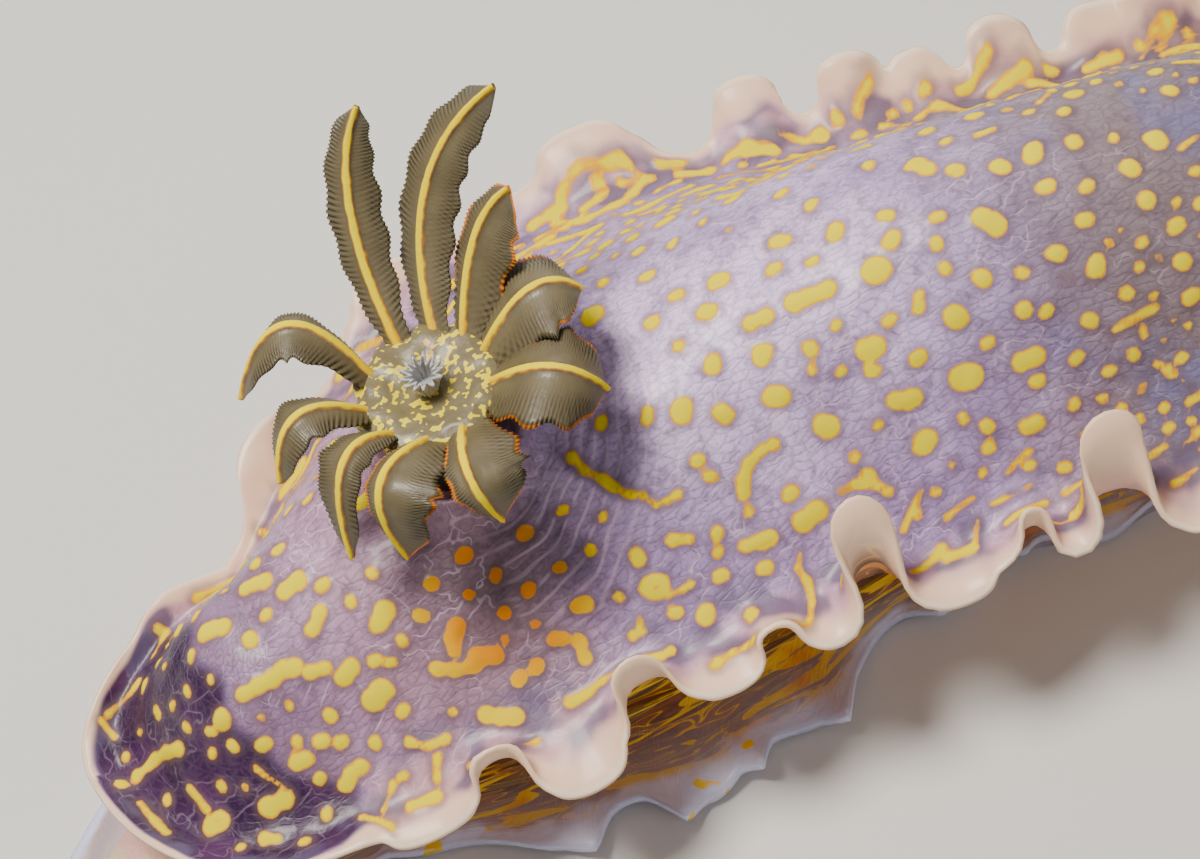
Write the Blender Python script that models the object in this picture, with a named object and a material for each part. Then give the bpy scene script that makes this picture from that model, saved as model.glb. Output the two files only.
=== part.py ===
"""A dorid sea slug crawling on its foot with its gill plume spread, life size.

Lengths are in millimetres and body coordinates: s runs forward along the middle line from the
mantle's rear end, y to the animal's left and z up from the floor. place() bends the middle line
to the animal's right and gives metres. Across the body a section has a side, -1 right or +1 left,
and a reach r, 0 on the middle line and 1 at the mantle's rim.
"""
import math
import random

import bmesh
import bpy
import numpy as np
from mathutils import Vector

SEED = 41
MM = 0.001
GAP = 0.3
MERGE = 0.000001

# Middle line and end caps
MANTLE_LENGTH = 96.0
BEND = 0.557
MIDDLE = 48.0
SHIFT = (4.98, -0.38)
S_REAR = 9.0
S_FRONT = 85.0
P_REAR = -5.0
P_FRONT = 102.0

# Mantle: half-widths, rim height and crest height as (station, value)
RIGHT_RIM = ((9, 12.0), (14, 13.1), (20, 13.9), (27, 14.2), (34, 14.6), (42, 15.0), (50, 15.3),
             (58, 15.4), (66, 15.1), (76, 14.1), (85, 12.2))
LEFT_RIM = ((9, 6.0), (12, 8.7), (16, 12.6), (20, 15.2), (27, 17.3), (34, 17.5), (42, 15.6),
            (50, 14.1), (58, 13.4), (66, 13.6), (76, 13.3), (85, 11.9))
RIM_HEIGHT = ((9, 7.8), (14, 8.7), (20, 9.4), (27, 10.0), (34, 10.4), (50, 10.8), (66, 10.3),
              (76, 9.7), (85, 9.2))
CREST = ((9, 13.0), (14, 14.3), (20, 15.4), (27, 16.5), (34, 18.0), (42, 19.7), (50, 20.3),
         (58, 19.9), (66, 18.8), (76, 16.9), (85, 14.4))
REAR_RIM = 6.2
REAR_REACH = 10.8
FRONT_RIM = 8.4
DOME_EDGE = 0.88
DOME_POWER = 1.3
RIM_LIFT = 0.5
RIM_LIFT_FROM = 0.85
ROOT = 0.66
EDGE_THICK = 0.6
ROOT_THICK = 2.0
THICK_POWER = 1.5
FRILL_START = 0.76
FRILL_POWER = 1.8
CURL_POWER = 2.6

# Ruffles of the rim: section, half-length, lift, outward lean, loop of their sides, skew forward
RIGHT_RUFFLES = ((12.0, 4.6, -0.8, 0.9, 0.10, 0.0), (16.4, 2.2, 1.3, -1.2, 0.08, 0.0),
                 (20.2, 4.2, -1.3, 1.8, 0.12, 0.0), (24.8, 2.4, 2.2, -1.6, 0.16, -0.3),
                 (28.6, 3.2, -0.6, 0.8, 0.10, 0.0), (31.7, 1.9, 1.1, -0.7, 0.10, 0.0),
                 (34.4, 2.2, -0.5, 0.7, 0.08, 0.0), (37.1, 2.6, 4.6, -3.2, 0.22, 0.3),
                 (41.0, 3.4, -0.9, 0.8, 0.10, 0.0), (45.5, 1.8, 1.7, -1.4, 0.10, 0.0),
                 (47.3, 1.8, -0.8, 0.6, 0.08, 0.0), (49.8, 3.0, 4.4, -3.2, 0.22, 0.5),
                 (53.8, 2.8, -0.9, 1.0, 0.10, 0.0))
LEFT_RUFFLES = ((1.5, 4.4, 0.3, -0.4, 0.0, 0.0), (6.2, 2.6, 0.4, 0.4, 0.02, 0.0),
                (9.6, 1.8, -0.3, 0.0, 0.0, 0.0), (12.9, 3.2, 1.4, 1.2, 0.08, 0.0),
                (17.4, 2.6, -0.8, -0.8, 0.08, 0.0), (22.0, 3.5, 0.8, 0.5, 0.10, 0.0),
                (27.0, 3.0, -0.4, -0.3, 0.10, 0.0), (33.8, 4.4, 1.2, 1.5, 0.10, 0.0),
                (38.5, 2.0, -0.3, -1.3, 0.06, 0.0), (42.0, 3.1, 1.5, 1.7, 0.10, 0.0),
                (44.4, 1.4, -0.3, -0.9, 0.05, 0.0), (47.0, 3.2, 1.8, 1.4, 0.10, 0.0),
                (48.9, 1.2, -0.2, -0.4, 0.05, 0.0), (50.3, 2.4, 1.3, 1.0, 0.06, 0.0),
                (52.0, 1.4, -0.3, -0.8, 0.05, 0.0), (54.2, 3.2, 1.8, 1.5, 0.08, 0.0),
                (56.6, 1.4, -0.3, -0.7, 0.04, 0.0), (58.7, 2.5, 1.3, 1.1, 0.06, 0.0))
FRONT_RUFFLES_FROM = 62.0
FRONT_RUFFLE_PITCH = 5.0
FRONT_RUFFLE = (3.3, 2.0, 1.0, 0.11)
FRONT_RUFFLE_SIZES = (0.75, 1.15)

# Flank between foot and mantle, as half-widths at its base
RIGHT_BASE = ((9, 8.2), (20, 9.6), (34, 9.4), (42, 8.2), (50, 7.8), (66, 8.2), (76, 7.8), (85, 6.4))
LEFT_BASE = ((9, 3.7), (14, 8.0), (20, 10.0), (34, 10.8), (50, 9.6), (66, 9.2), (76, 8.6), (85, 6.6))
BASE_REAR = 6.8
BASE_FRONT = 5.6
FLANK_TOP = (0.985, 0.74)
SNOUT_REACH = 7.8
FLANK_BULGE = 0.6

# Foot, with its tail swung to the right
RIGHT_FOOT = ((9, 8.8), (14, 12.0), (20, 13.6), (27, 14.4), (32, 13.7), (37, 11.2), (42, 9.8),
              (58, 9.5), (68, 9.8), (77, 9.4), (85, 7.8))
LEFT_FOOT = ((9, 5.6), (14, 9.8), (20, 12.6), (34, 13.6), (50, 12.2), (66, 11.6), (77, 10.4),
             (85, 8.2))
TAIL_LENGTH = 13.0
FOOT_FRONT = 6.4
TAIL_POINT = 2.0
TAIL_SWING = 4.2
TAIL_SWING_FROM = 8.0
FOOT_TOP = 2.4
FOOT_EDGE = (0.35, 0.95)
FOOT_WAVE = 0.55
FOOT_WAVE_PITCH = 6.4
FOOT_SWAY = 0.6
FOOT_SLOPE = ((0.0, 2.4), (0.3, 1.78), (0.6, 1.25), (0.85, 1.1))
SOLE_PART = 0.84

# Gill crown: base, mid and tip azimuth, mid and tip reach, mid and tip rise, vane widths
GILL_CENTRE = (21.7, 0.5)
GILL_HEIGHT = 20.5
STEM_RADIUS = 2.3
DISC_PROFILE = ((2.16, -2.8), (2.97, -1.5), (3.3, -0.95), (3.3, -0.1), (2.77, 0.3), (1.45, 0.15))
LEAF_ROOT = 3.62
LEAF_ROOT_RISE = -0.4
GILL_LEAVES = ((98, 87, 75, 7.6, 10.2, 4.4, 8.2, 1.3, 1.6), (62, 61, 40, 7.8, 10.8, 4.4, 8.7, 1.6, 1.9),
               (32, 40, 30, 6.2, 8.2, 3.0, 5.2, 0.9, 1.9), (7, 7, 2, 6.1, 8.2, 2.1, 1.1, 1.6, 2.2),
               (-26, -34, -31, 6.4, 8.5, 1.8, -0.4, 1.9, 2.3),
               (-76, -92, -88, 6.8, 7.8, 1.5, -1.2, 2.5, 1.0),
               (-108, -128, -125, 6.5, 7.7, 1.6, -2.5, 2.5, 0.8),
               (-145, -149, -144, 5.8, 8.3, 1.5, -2.5, 0.9, 1.3),
               (176, 178, -173, 5.8, 8.0, 2.0, -0.2, 1.4, 1.1),
               (137, 135, 152, 6.2, 8.8, 3.0, 0.2, 1.7, 0.8))
LEAF_SHAPE = ((0, 0.42), (0.15, 0.74), (0.4, 1.0), (0.7, 0.9), (0.9, 0.6), (1, 0.24))
LEAF_RIDGE = (0.24, 0.27)
LEAF_SECTION = ((0.0, 0.2), (0.24, 0.03), (1.0, -0.3), (0.52, -0.72), (0.0, -1.02), (-0.52, -0.72),
                (-1.0, -0.3), (-0.24, 0.03))
LEAF_DEPTH = 0.85
LAMELLAE = 7
LAMELLA_CUT = 0.86

# Small organs
PAPILLA = (1.15, 1.5)
PAPILLA_PLEATS = 8
PAPILLA_PLEAT = 0.68
PAPILLA_PROFILE = ((0.62, 0.0), (0.66, 0.45), (0.82, 0.8), (1.0, 1.0))
POCKET = (3.1, 4.5, 1.3)
RHINOPHORE_PLACE = (82.5, 4.4)
RHINOPHORE = (0.95, 1.45, 9.2)
RHINOPHORE_LEAVES = 9
RHINOPHORE_CUT = 0.8
CLUB_FROM = 0.3
CLUB_TAPER_FROM = 0.35
CLUB_TAPER_POWER = 2.2
RHINOPHORE_SLANT = 0.25
STALK_RING = (0.22, 0.88)
RHINOPHORE_LEAN = (0.10, 0.16)
SHEATH = (1.5, 2.4, 1.5)
COLLAR_SLOPE = 0.25
TENTACLE_ROOT = (88.2, 3.6, 4.6)
TENTACLE_TIP = (93.6, 6.6, 3.6)
TENTACLE = (1.15, 0.35)
TENTACLE_LEVELS = (0.0, 0.25, 0.5, 0.75, 0.93, 1.0)
LIP = (0.85, 0.75, 1.5)
LIP_PLACE = (92.3, 0.72, 4.5)

# Cuts across the body between nodes
MANTLE_CUTS = (29.5, 52.4, 74.0)
FLANK_CUTS = (31.0, 57.0, 83.0)
FOOT_CUTS = (2.0, 31.0, 57.0)


def remove_everything():
    """Leaves an empty scene for the part."""
    for item in list(bpy.data.objects):
        bpy.data.objects.remove(item, do_unlink=True)


def principled(name, colour, roughness):
    """A plain Principled material in the given sRGB-like colour."""
    material = bpy.data.materials.new(name)
    material.use_nodes = True
    shader = material.node_tree.nodes["Principled BSDF"]
    shader.inputs["Base Color"].default_value = (*colour, 1.0)
    shader.inputs["Roughness"].default_value = roughness
    shader.inputs["Metallic"].default_value = 0.0
    return material


def along(knots, s):
    """Smooth value at s through a short table of (station, value) pairs."""
    x, y = np.array(knots, dtype=float).T
    slope = np.gradient(y, x)
    s = np.clip(s, x[0], x[-1])
    i = np.clip(np.searchsorted(x, s, side="right") - 1, 0, len(x) - 2)
    step = x[i + 1] - x[i]
    t = (s - x[i]) / step
    rise = t * t * (3 - 2 * t)
    ends = (1 - rise) * y[i] + rise * y[i + 1]
    return ends + step * (slope[i] * (t - 2 * t ** 2 + t ** 3) + slope[i + 1] * (t ** 3 - t ** 2))


def ease(t):
    """Smooth step from 0 to 1."""
    t = np.clip(t, 0.0, 1.0)
    return t * t * (3 - 2 * t)


def place(points):
    """World metres of points given in body coordinates."""
    points = np.asarray(points, dtype=float)
    radius = MANTLE_LENGTH / BEND
    turn = (points[..., 0] - MIDDLE) / radius
    x = radius * np.sin(turn) + points[..., 1] * np.sin(turn) + SHIFT[0]
    y = radius * (np.cos(turn) - 1) + points[..., 1] * np.cos(turn) + SHIFT[1]
    return np.stack([x, y, points[..., 2]], -1) * MM


def station(p):
    """Middle-line station of section p and its turn into the rear and the front end cap."""
    rear = np.clip((S_REAR - p) / (S_REAR - P_REAR), 0, 1) * math.pi / 2
    front = np.clip((p - S_FRONT) / (P_FRONT - S_FRONT), 0, 1) * math.pi / 2
    return np.clip(p, S_REAR, S_FRONT), rear, front


def outline(p, half_width, rear_reach, front_reach, point=1.0):
    """Offset along and across of an outline at section p, from its middle-line station."""
    rear, front = station(p)[1:]
    ahead = front_reach * np.sin(front) - rear_reach * np.sin(rear)
    return ahead, half_width * np.cos(rear) ** point * np.cos(front)


def by_side(side, left, right, s):
    """Value at s of the left table or the right one."""
    return np.where(side > 0, along(left, s), along(right, s))


def front_ruffles(side):
    """Ruffles of the mantle's front third, in the same form as the tables."""
    chance = random.Random(SEED + side)
    half, lift, lean, loop = FRONT_RUFFLE
    rows = []
    p = FRONT_RUFFLES_FROM
    while p < P_FRONT - half:
        size = chance.uniform(*FRONT_RUFFLE_SIZES)
        rows.append((p, half * size, lift * size, lean * size, loop, 0.0))
        p += FRONT_RUFFLE_PITCH * size
    return tuple(rows)


RUFFLES = {-1: RIGHT_RUFFLES + front_ruffles(-1), 1: LEFT_RUFFLES + front_ruffles(1)}


def frill(p, side, r):
    """Shift of the mantle's border along the rim, outward and up, from its ruffles."""
    reach = np.clip((r - FRILL_START) / (1 - FRILL_START), 0, 1.2)
    rise = reach ** FRILL_POWER
    curl = reach ** CURL_POWER
    forward = np.zeros_like(p + r)
    out = np.zeros_like(p + r)
    up = np.zeros_like(p + r)
    for one_side, table in RUFFLES.items():
        for centre, half, lift, lean, loop, skew in table:
            u = (p - centre) / half
            here = (side == one_side) & (np.abs(u) < 1)
            bump = here * 0.5 * (1 + np.cos(math.pi * u))
            up = up + lift * bump * rise
            out = out + lean * bump * curl
            forward = forward + (here * loop * half * np.sin(2 * math.pi * u) + skew * bump) * curl
    return forward, out, up


def mantle_top(p, side, r):
    """Points of the mantle's upper face in body coordinates."""
    p, side, r = np.broadcast_arrays(np.asarray(p, float), np.asarray(side, float), np.asarray(r, float))
    middle, rear, front = station(p)
    width = by_side(side, LEFT_RIM, RIGHT_RIM, middle)
    ahead, across = outline(p, width, REAR_REACH, MANTLE_LENGTH - S_FRONT)
    rim = along(RIM_HEIGHT, middle)
    rim = rim + (REAR_RIM - RIM_HEIGHT[0][1]) * (1 - np.cos(rear))
    rim = rim + (FRONT_RIM - RIM_HEIGHT[-1][1]) * (1 - np.cos(front))
    dome = 0.5 * (1 + np.cos(math.pi * np.clip(r / DOME_EDGE, 0, 1) ** DOME_POWER))
    z = rim + (along(CREST, middle) - rim) * dome + RIM_LIFT * ease((r - RIM_LIFT_FROM) / (1 - RIM_LIFT_FROM))
    length = np.hypot(ahead, across) + 1e-9
    away_s = ahead / length
    away_y = side * across / length
    forward, out, up = frill(p, side, r)
    s = middle + r * ahead + out * away_s + side * forward * away_y
    y = side * r * across + out * away_y - side * forward * away_s
    return np.stack([s, y, z + up], -1)


def mantle_under(p, side, r):
    """Points of the border's lower face, its thickness inside the upper one."""
    p, side, r = np.broadcast_arrays(np.asarray(p, float), np.asarray(side, float), np.asarray(r, float))
    step = 0.02
    ahead = mantle_top(p + step, side, r) - mantle_top(p - step, side, r)
    outward = mantle_top(p, side, r + step / 5) - mantle_top(p, side, r - step / 5)
    normal = np.cross(ahead, outward) * side[..., None]
    normal = normal / (np.linalg.norm(normal, axis=-1, keepdims=True) + 1e-12)
    part = np.clip((1 - r) / (1 - ROOT), 0, 1)
    thick = EDGE_THICK + (ROOT_THICK - EDGE_THICK) * part ** THICK_POWER
    return mantle_top(p, side, r) - normal * thick[..., None]


def seat_middle(p):
    """Middle-line point of the face where mantle and flank meet."""
    middle = station(p)[0]
    left = mantle_under(middle, 1, ROOT)
    right = mantle_under(middle, -1, ROOT)
    return np.stack([middle, np.zeros_like(middle), 0.5 * (left[..., 2] + right[..., 2])], -1)


def height_at(s, y):
    """Height of the mantle's upper face over a place away from the end caps."""
    side = np.where(np.asarray(y) < 0, -1.0, 1.0)
    reach = np.abs(y) / by_side(side, LEFT_RIM, RIGHT_RIM, s)
    return mantle_top(s, side, reach)[..., 2]


def flank_ring(p, side, level):
    """Points of the flank's wall, level 0 at its top and 1 at the foot."""
    middle, rear, front = station(p)
    seat = seat_middle(p)
    keep = FLANK_TOP[0] + (FLANK_TOP[1] - FLANK_TOP[0]) * (1 - np.cos(front))
    root = mantle_under(p, side, ROOT)
    top = seat + (root - seat) * keep[..., None]
    top[..., 2] -= GAP
    width = by_side(side, LEFT_BASE, RIGHT_BASE, middle)
    ahead, across = outline(p, width, BASE_REAR, BASE_FRONT)
    base = np.stack([middle + ahead, side * across, np.full_like(p, FOOT_TOP + GAP)], -1)
    ring = top + (base - top) * level
    swell = math.sin(math.pi * level)
    snout = (SNOUT_REACH - BASE_FRONT) * np.sin(front) ** 3
    ring[..., 0] += swell * (snout - FLANK_BULGE * np.sin(rear))
    ring[..., 1] += side * swell * FLANK_BULGE * np.cos(rear) * np.cos(front)
    return ring


def foot_shift(s):
    """Sideways swing of the tail at station s."""
    return -TAIL_SWING * ease((TAIL_SWING_FROM - s) / (TAIL_SWING_FROM + TAIL_LENGTH)) ** 1.2


def foot_ring(p, side, reach, z):
    """Points of the foot between the flank's base, reach 0, and its margin, reach 1."""
    middle, rear, front = station(p)
    inner = outline(p, by_side(side, LEFT_BASE, RIGHT_BASE, middle), BASE_REAR, BASE_FRONT)
    outer = outline(p, by_side(side, LEFT_FOOT, RIGHT_FOOT, middle), S_REAR + TAIL_LENGTH, FOOT_FRONT,
                    1 + (TAIL_POINT - 1) * (rear > 0))
    wave = 0.5 + 0.5 * np.sin(2 * math.pi * p / FOOT_WAVE_PITCH + side)
    calm = np.clip((p - P_REAR) / 14, 0, 1) * np.clip((P_FRONT - p) / 12, 0, 1)
    out = reach ** 2 * FOOT_SWAY * calm * np.sin(2 * math.pi * p / (FOOT_WAVE_PITCH * 1.3) - side)
    s = middle + inner[0] + (outer[0] - inner[0]) * reach
    y = side * (inner[1] + (outer[1] - inner[1]) * reach + out * np.cos(rear))
    lift = FOOT_WAVE * wave * calm * np.clip((reach - 0.4) / 0.6, 0, 1) ** 2
    return np.stack([s, y + foot_shift(s), z + lift], -1)


def mirrored(half, p, seam):
    """Sections across the body: top seam, left half, bottom seam and right half."""
    right = [f(p, -np.ones_like(p)) for f in half]
    left = [f(p, np.ones_like(p)) for f in half]
    top, bottom = seam
    ring = [top(p)] + left + [bottom(p)] + right[::-1]
    return np.stack(ring, 1)


def loft(sections, leans):
    """Closed mesh through rings of points; leans gives each strip's splitting diagonal."""
    count, around = sections.shape[:2]
    points = place(sections)
    bm = bmesh.new()
    bmesh.ops.create_grid(bm, x_segments=around, y_segments=count - 1, size=1.0)
    index = {}
    for vert in bm.verts:
        i = round((vert.co.x + 1) / 2 * around)
        j = round((vert.co.y + 1) / 2 * (count - 1))
        index[vert] = (i, j)
        vert.co = Vector(points[j, i % around])
    for face in list(bm.faces):
        corner = {index[v]: v for v in face.verts}
        i = min(k[0] for k in corner)
        j = min(k[1] for k in corner)
        if leans[i]:
            bmesh.utils.face_split(face, corner[i, j], corner[i + 1, j + 1])
        else:
            bmesh.utils.face_split(face, corner[i + 1, j], corner[i, j + 1])
    bmesh.ops.remove_doubles(bm, verts=bm.verts, dist=MERGE)
    close_holes(bm)
    return bm


def close_holes(bm):
    """Fills open ends, makes triangles and turns all faces outward."""
    rim = [edge for edge in bm.edges if edge.is_boundary]
    if rim:
        filled = bmesh.ops.holes_fill(bm, edges=rim, sides=0)
        bmesh.ops.triangulate(bm, faces=filled["faces"])
    bmesh.ops.recalc_face_normals(bm, faces=bm.faces)
    if bm.calc_volume(signed=True) < 0:
        bmesh.ops.reverse_faces(bm, faces=bm.faces)


def mirrored_leans(left):
    """Diagonal flags of a whole ring from its left half's, the same on both sides."""
    return left + [not lean for lean in reversed(left)]


def slice_between(bm, s_from, s_to):
    """Copy of a body between two planes across the middle line, with flat ends."""
    piece = bm.copy()
    for s, keep_ahead in ((s_from, True), (s_to, False)):
        if s is None:
            continue
        here, there = (Vector(place((s + d, 0.0, 0.0))) for d in (0.0, 0.1))
        normal = (there - here).normalized() * (1 if keep_ahead else -1)
        geometry = piece.verts[:] + piece.edges[:] + piece.faces[:]
        bmesh.ops.bisect_plane(piece, geom=geometry, dist=MERGE, plane_co=here, plane_no=normal,
                               clear_inner=True)
        close_holes(piece)
    bmesh.ops.remove_doubles(piece, verts=piece.verts, dist=MERGE)
    return piece


def largest_body(bm):
    """Keeps only the biggest connected surface."""
    left = set(bm.verts)
    groups = []
    while left:
        stack = [left.pop()]
        group = set(stack)
        while stack:
            for edge in stack.pop().link_edges:
                for vert in edge.verts:
                    if vert in left:
                        left.discard(vert)
                        group.add(vert)
                        stack.append(vert)
        groups.append(group)
    best = max(groups, key=len)
    bmesh.ops.delete(bm, geom=[v for v in bm.verts if v not in best], context="VERTS")


def add_object(name, bm, material):
    """Makes one named object from a mesh and frees it."""
    mesh = bpy.data.meshes.new(name)
    bm.to_mesh(mesh)
    bm.free()
    mesh.shade_smooth()
    mesh.set_sharp_from_angle(angle=math.radians(50))
    mesh.materials.append(material)
    item = bpy.data.objects.new(name, mesh)
    bpy.context.scene.collection.objects.link(item)
    return item


def add_slices(bm, names, cuts, material):
    """Adds a body as lengths, half a gap back from each cut on both sides."""
    ends = [None] + list(cuts) + [None]
    for name, s_from, s_to in zip(names, ends, ends[1:]):
        start = None if s_from is None else s_from + GAP / 2
        stop = None if s_to is None else s_to - GAP / 2
        add_object(name, slice_between(bm, start, stop), material)
    bm.free()


def apply_boolean(target, tools, operation):
    """Applies one Boolean of a collection of closed objects and removes them."""
    group = bpy.data.collections.new("tools")
    bpy.context.scene.collection.children.link(group)
    for tool in tools:
        bpy.context.scene.collection.objects.unlink(tool)
        group.objects.link(tool)
    cut = target.modifiers.new("join", "BOOLEAN")
    cut.operand_type = "COLLECTION"
    cut.collection = group
    cut.operation = operation
    cut.solver = "EXACT"
    graph = bpy.context.evaluated_depsgraph_get()
    bm = bmesh.new()
    bm.from_mesh(target.evaluated_get(graph).to_mesh())
    target.modifiers.clear()
    for tool in tools:
        bpy.data.objects.remove(tool, do_unlink=True)
    bpy.data.collections.remove(group)
    bmesh.ops.triangulate(bm, faces=bm.faces)
    largest_body(bm)
    bm.to_mesh(target.data)
    bm.free()


def section_places(start, stop, step):
    """Sections evenly spread from start to stop, ends included."""
    return np.linspace(start, stop, max(2, round((stop - start) / step) + 1))


def add_mantle(material):
    """Adds the mantle: dome, frilled border and the seat on the flank."""
    top_reach = (0.14, 0.28, 0.42, 0.55, 0.67, 0.77, 0.85, 0.91, 0.96, 1.0)
    under_reach = (1.0, 0.94, 0.87, 0.78, ROOT)
    half = [lambda p, side, r=r: mantle_top(p, side, r) for r in top_reach]
    half += [lambda p, side, r=r: mantle_under(p, side, r) for r in under_reach]
    p = np.concatenate([section_places(P_REAR, FRONT_RUFFLES_FROM, 1.0)[:-1],
                        section_places(FRONT_RUFFLES_FROM, P_FRONT, 1.7)])
    sections = mirrored(half, p, (lambda p: mantle_top(p, 1.0, 0.0), seat_middle))
    rising = [True] * (len(top_reach) + 1)
    falling = [False] * len(under_reach)
    bm = loft(sections, mirrored_leans(rising + falling))
    names = ("mantle_rear", "mantle_mid_rear", "mantle_mid_front", "mantle_front")
    add_slices(bm, names, MANTLE_CUTS, material)


def add_flank(material):
    """Adds the flank in three lengths and the head as its front end, with two lips."""
    half = [lambda p, side, k=k: flank_ring(p, side, k) for k in (0.0, 0.3, 0.65, 1.0)]

    def top(p):
        return seat_middle(p) - np.array([0.0, 0.0, GAP])

    def bottom(p):
        middle = station(p)[0]
        return np.stack([middle, np.zeros_like(middle), np.full_like(middle, FOOT_TOP + GAP)], -1)

    sections = mirrored(half, section_places(P_REAR, P_FRONT, 1.9), (top, bottom))
    bm = loft(sections, mirrored_leans([True] * (len(half) + 1)))
    add_slices(bm, ("flank_rear", "flank_middle", "flank_front", "head"), FLANK_CUTS, material)
    head = bpy.data.objects["head"]
    lips = [ellipsoid("lip", (LIP_PLACE[0], side * LIP_PLACE[1], LIP_PLACE[2]), LIP, material)
            for side in (-1, 1)]
    apply_boolean(head, lips, "UNION")
    return head


def add_foot(material):
    """Adds the foot in three lengths and the tail."""
    low, high = FOOT_EDGE

    def ring(reach, z):
        return lambda p, side: foot_ring(p, side, reach, z)

    def middle_at(z):
        def seam(p):
            s = station(p)[0]
            return np.stack([s, np.zeros_like(s), np.full_like(s, z)], -1)
        return seam

    half = [ring(*place_on_slope) for place_on_slope in FOOT_SLOPE]
    half += [ring(1.0, high), ring(1.0, low), ring(SOLE_PART, 0.0), ring(0.0, 0.0)]
    sections = mirrored(half, section_places(P_REAR, P_FRONT, 1.6), (middle_at(FOOT_TOP), middle_at(0.0)))
    first_sole_ring = len(half) - 1
    sections[:, first_sole_ring:first_sole_ring + 5, 2] = 0.0
    top_strips = len(FOOT_SLOPE) + 2
    leans = [True] * top_strips + [False] * (len(half) + 1 - top_strips)
    bm = loft(sections, mirrored_leans(leans))
    add_slices(bm, ("tail", "foot_rear", "foot_middle", "foot_front"), FOOT_CUTS, material)


def ellipsoid(name, centre, radii, material):
    """A closed ellipsoid object in body coordinates."""
    bm = bmesh.new()
    bmesh.ops.create_uvsphere(bm, u_segments=12, v_segments=8, radius=1.0)
    for vert in bm.verts:
        vert.co = Vector(place([c + k * v for c, k, v in zip(centre, radii, vert.co)]))
    bmesh.ops.triangulate(bm, faces=bm.faces)
    return add_object(name, bm, material)


def circle(centre, radius, sides, heights=None):
    """A level ring of points in body coordinates."""
    turns = np.arange(sides) * 2 * math.pi / sides
    s = centre[0] + radius * np.cos(turns)
    y = centre[1] + radius * np.sin(turns)
    z = centre[2] + (np.zeros(sides) if heights is None else heights)
    return np.stack([s, y, z], -1)


def sweep(path, rings):
    """Sections set square to a path; rings holds (across, inward) offsets for each path point."""
    path = np.asarray(path, dtype=float)
    ahead = np.gradient(path, axis=0)
    ahead /= np.linalg.norm(ahead, axis=1, keepdims=True)
    flat = path[-1] - path[0]
    side = np.array([-flat[1], flat[0], 0.0])
    side /= np.linalg.norm(side)
    sections = []
    for point, direction, ring in zip(path, ahead, rings):
        across = side - direction * side.dot(direction)
        across /= np.linalg.norm(across)
        inward = np.cross(direction, across)
        sections.append([point + a * across + b * inward for a, b in ring])
    return np.array(sections)


def add_collar(name, centre, sizes, material):
    """Adds a raised rim that lies on the mantle around a hollow."""
    inner, outer, height = sizes
    sides = 20
    middle = (inner + outer) / 2
    rings = []
    for radius, up in ((inner, 0.0), (inner, height * 0.9), (middle, height),
                       (outer - COLLAR_SLOPE, height * 0.5), (outer, 0.0), (middle, 0.0)):
        level = circle((*centre, 0.0), radius, sides)
        level[:, 2] = height_at(level[:, 0], level[:, 1]) + GAP + up
        rings.append(level)
    around = np.stack(rings, 1)
    sections = np.concatenate([around, around[:1]])
    add_object(name, loft(sections, [True] * len(rings)), material)


def add_gill_disc(material):
    """Adds the stalk of the crown and the disc that carries its leaves."""
    sides = 20
    foot = circle((*GILL_CENTRE, 0.0), STEM_RADIUS, sides)
    foot[:, 2] = height_at(foot[:, 0], foot[:, 1]) + GAP
    rings = [foot]
    for radius, z in DISC_PROFILE:
        rings.append(circle((*GILL_CENTRE, GILL_HEIGHT + z), radius, sides))
    add_object("gill_disc", loft(np.array(rings), [True] * sides), material)


def add_papilla(material):
    """Adds the pleated vent in the middle of the crown."""
    radius, height = PAPILLA
    sides = PAPILLA_PLEATS * 2
    pleat = np.where(np.arange(sides) % 2 == 0, 1.0, PAPILLA_PLEAT)
    rings = []
    for scale, up in PAPILLA_PROFILE:
        ring = circle((0.0, 0.0, 0.0), radius * scale, sides)
        ring[:, :2] *= (1 - scale + scale * pleat)[:, None]
        ring += np.array([*GILL_CENTRE, GILL_HEIGHT + 0.15 + GAP + up * height])
        rings.append(ring)
    add_object("anal_papilla", loft(np.array(rings), [True] * sides), material)


def leaf_path(row, count):
    """Spine of one gill leaf, root to tip, as a curve through its middle."""
    root_turn, mid_turn, tip_turn, mid_reach, tip_reach, mid_up, tip_up = row[:7]
    stops = []
    for turn, reach, up in ((root_turn, LEAF_ROOT, LEAF_ROOT_RISE), (mid_turn, mid_reach, mid_up),
                            (tip_turn, tip_reach, tip_up)):
        turn = math.radians(turn)
        stops.append((GILL_CENTRE[0] + reach * math.cos(turn), GILL_CENTRE[1] + reach * math.sin(turn),
                      GILL_HEIGHT + up))
    root, middle, tip = (np.array(stop) for stop in stops)
    handle = 2 * middle - 0.5 * (root + tip)
    t = np.linspace(0.0, 1.0, count)[:, None]
    return (1 - t) ** 2 * root + 2 * t * (1 - t) * handle + t ** 2 * tip


def leaf_point(a, b, widths, scale, cut):
    """Offset across and inward of one point of a leaf's section, cut back between lamellae."""
    part, ridge = LEAF_RIDGE
    width = widths[0] if a > 0 else widths[1]
    ridge *= 0.5 + 0.5 * scale
    out = ridge * min(1.0, abs(a) / part)
    if abs(a) > part:
        out += (width * scale * cut - ridge) * (abs(a) - part) / (1 - part)
    depth = LEAF_DEPTH * scale * cut
    return math.copysign(out, a), b if b > 0 else b * depth


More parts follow.
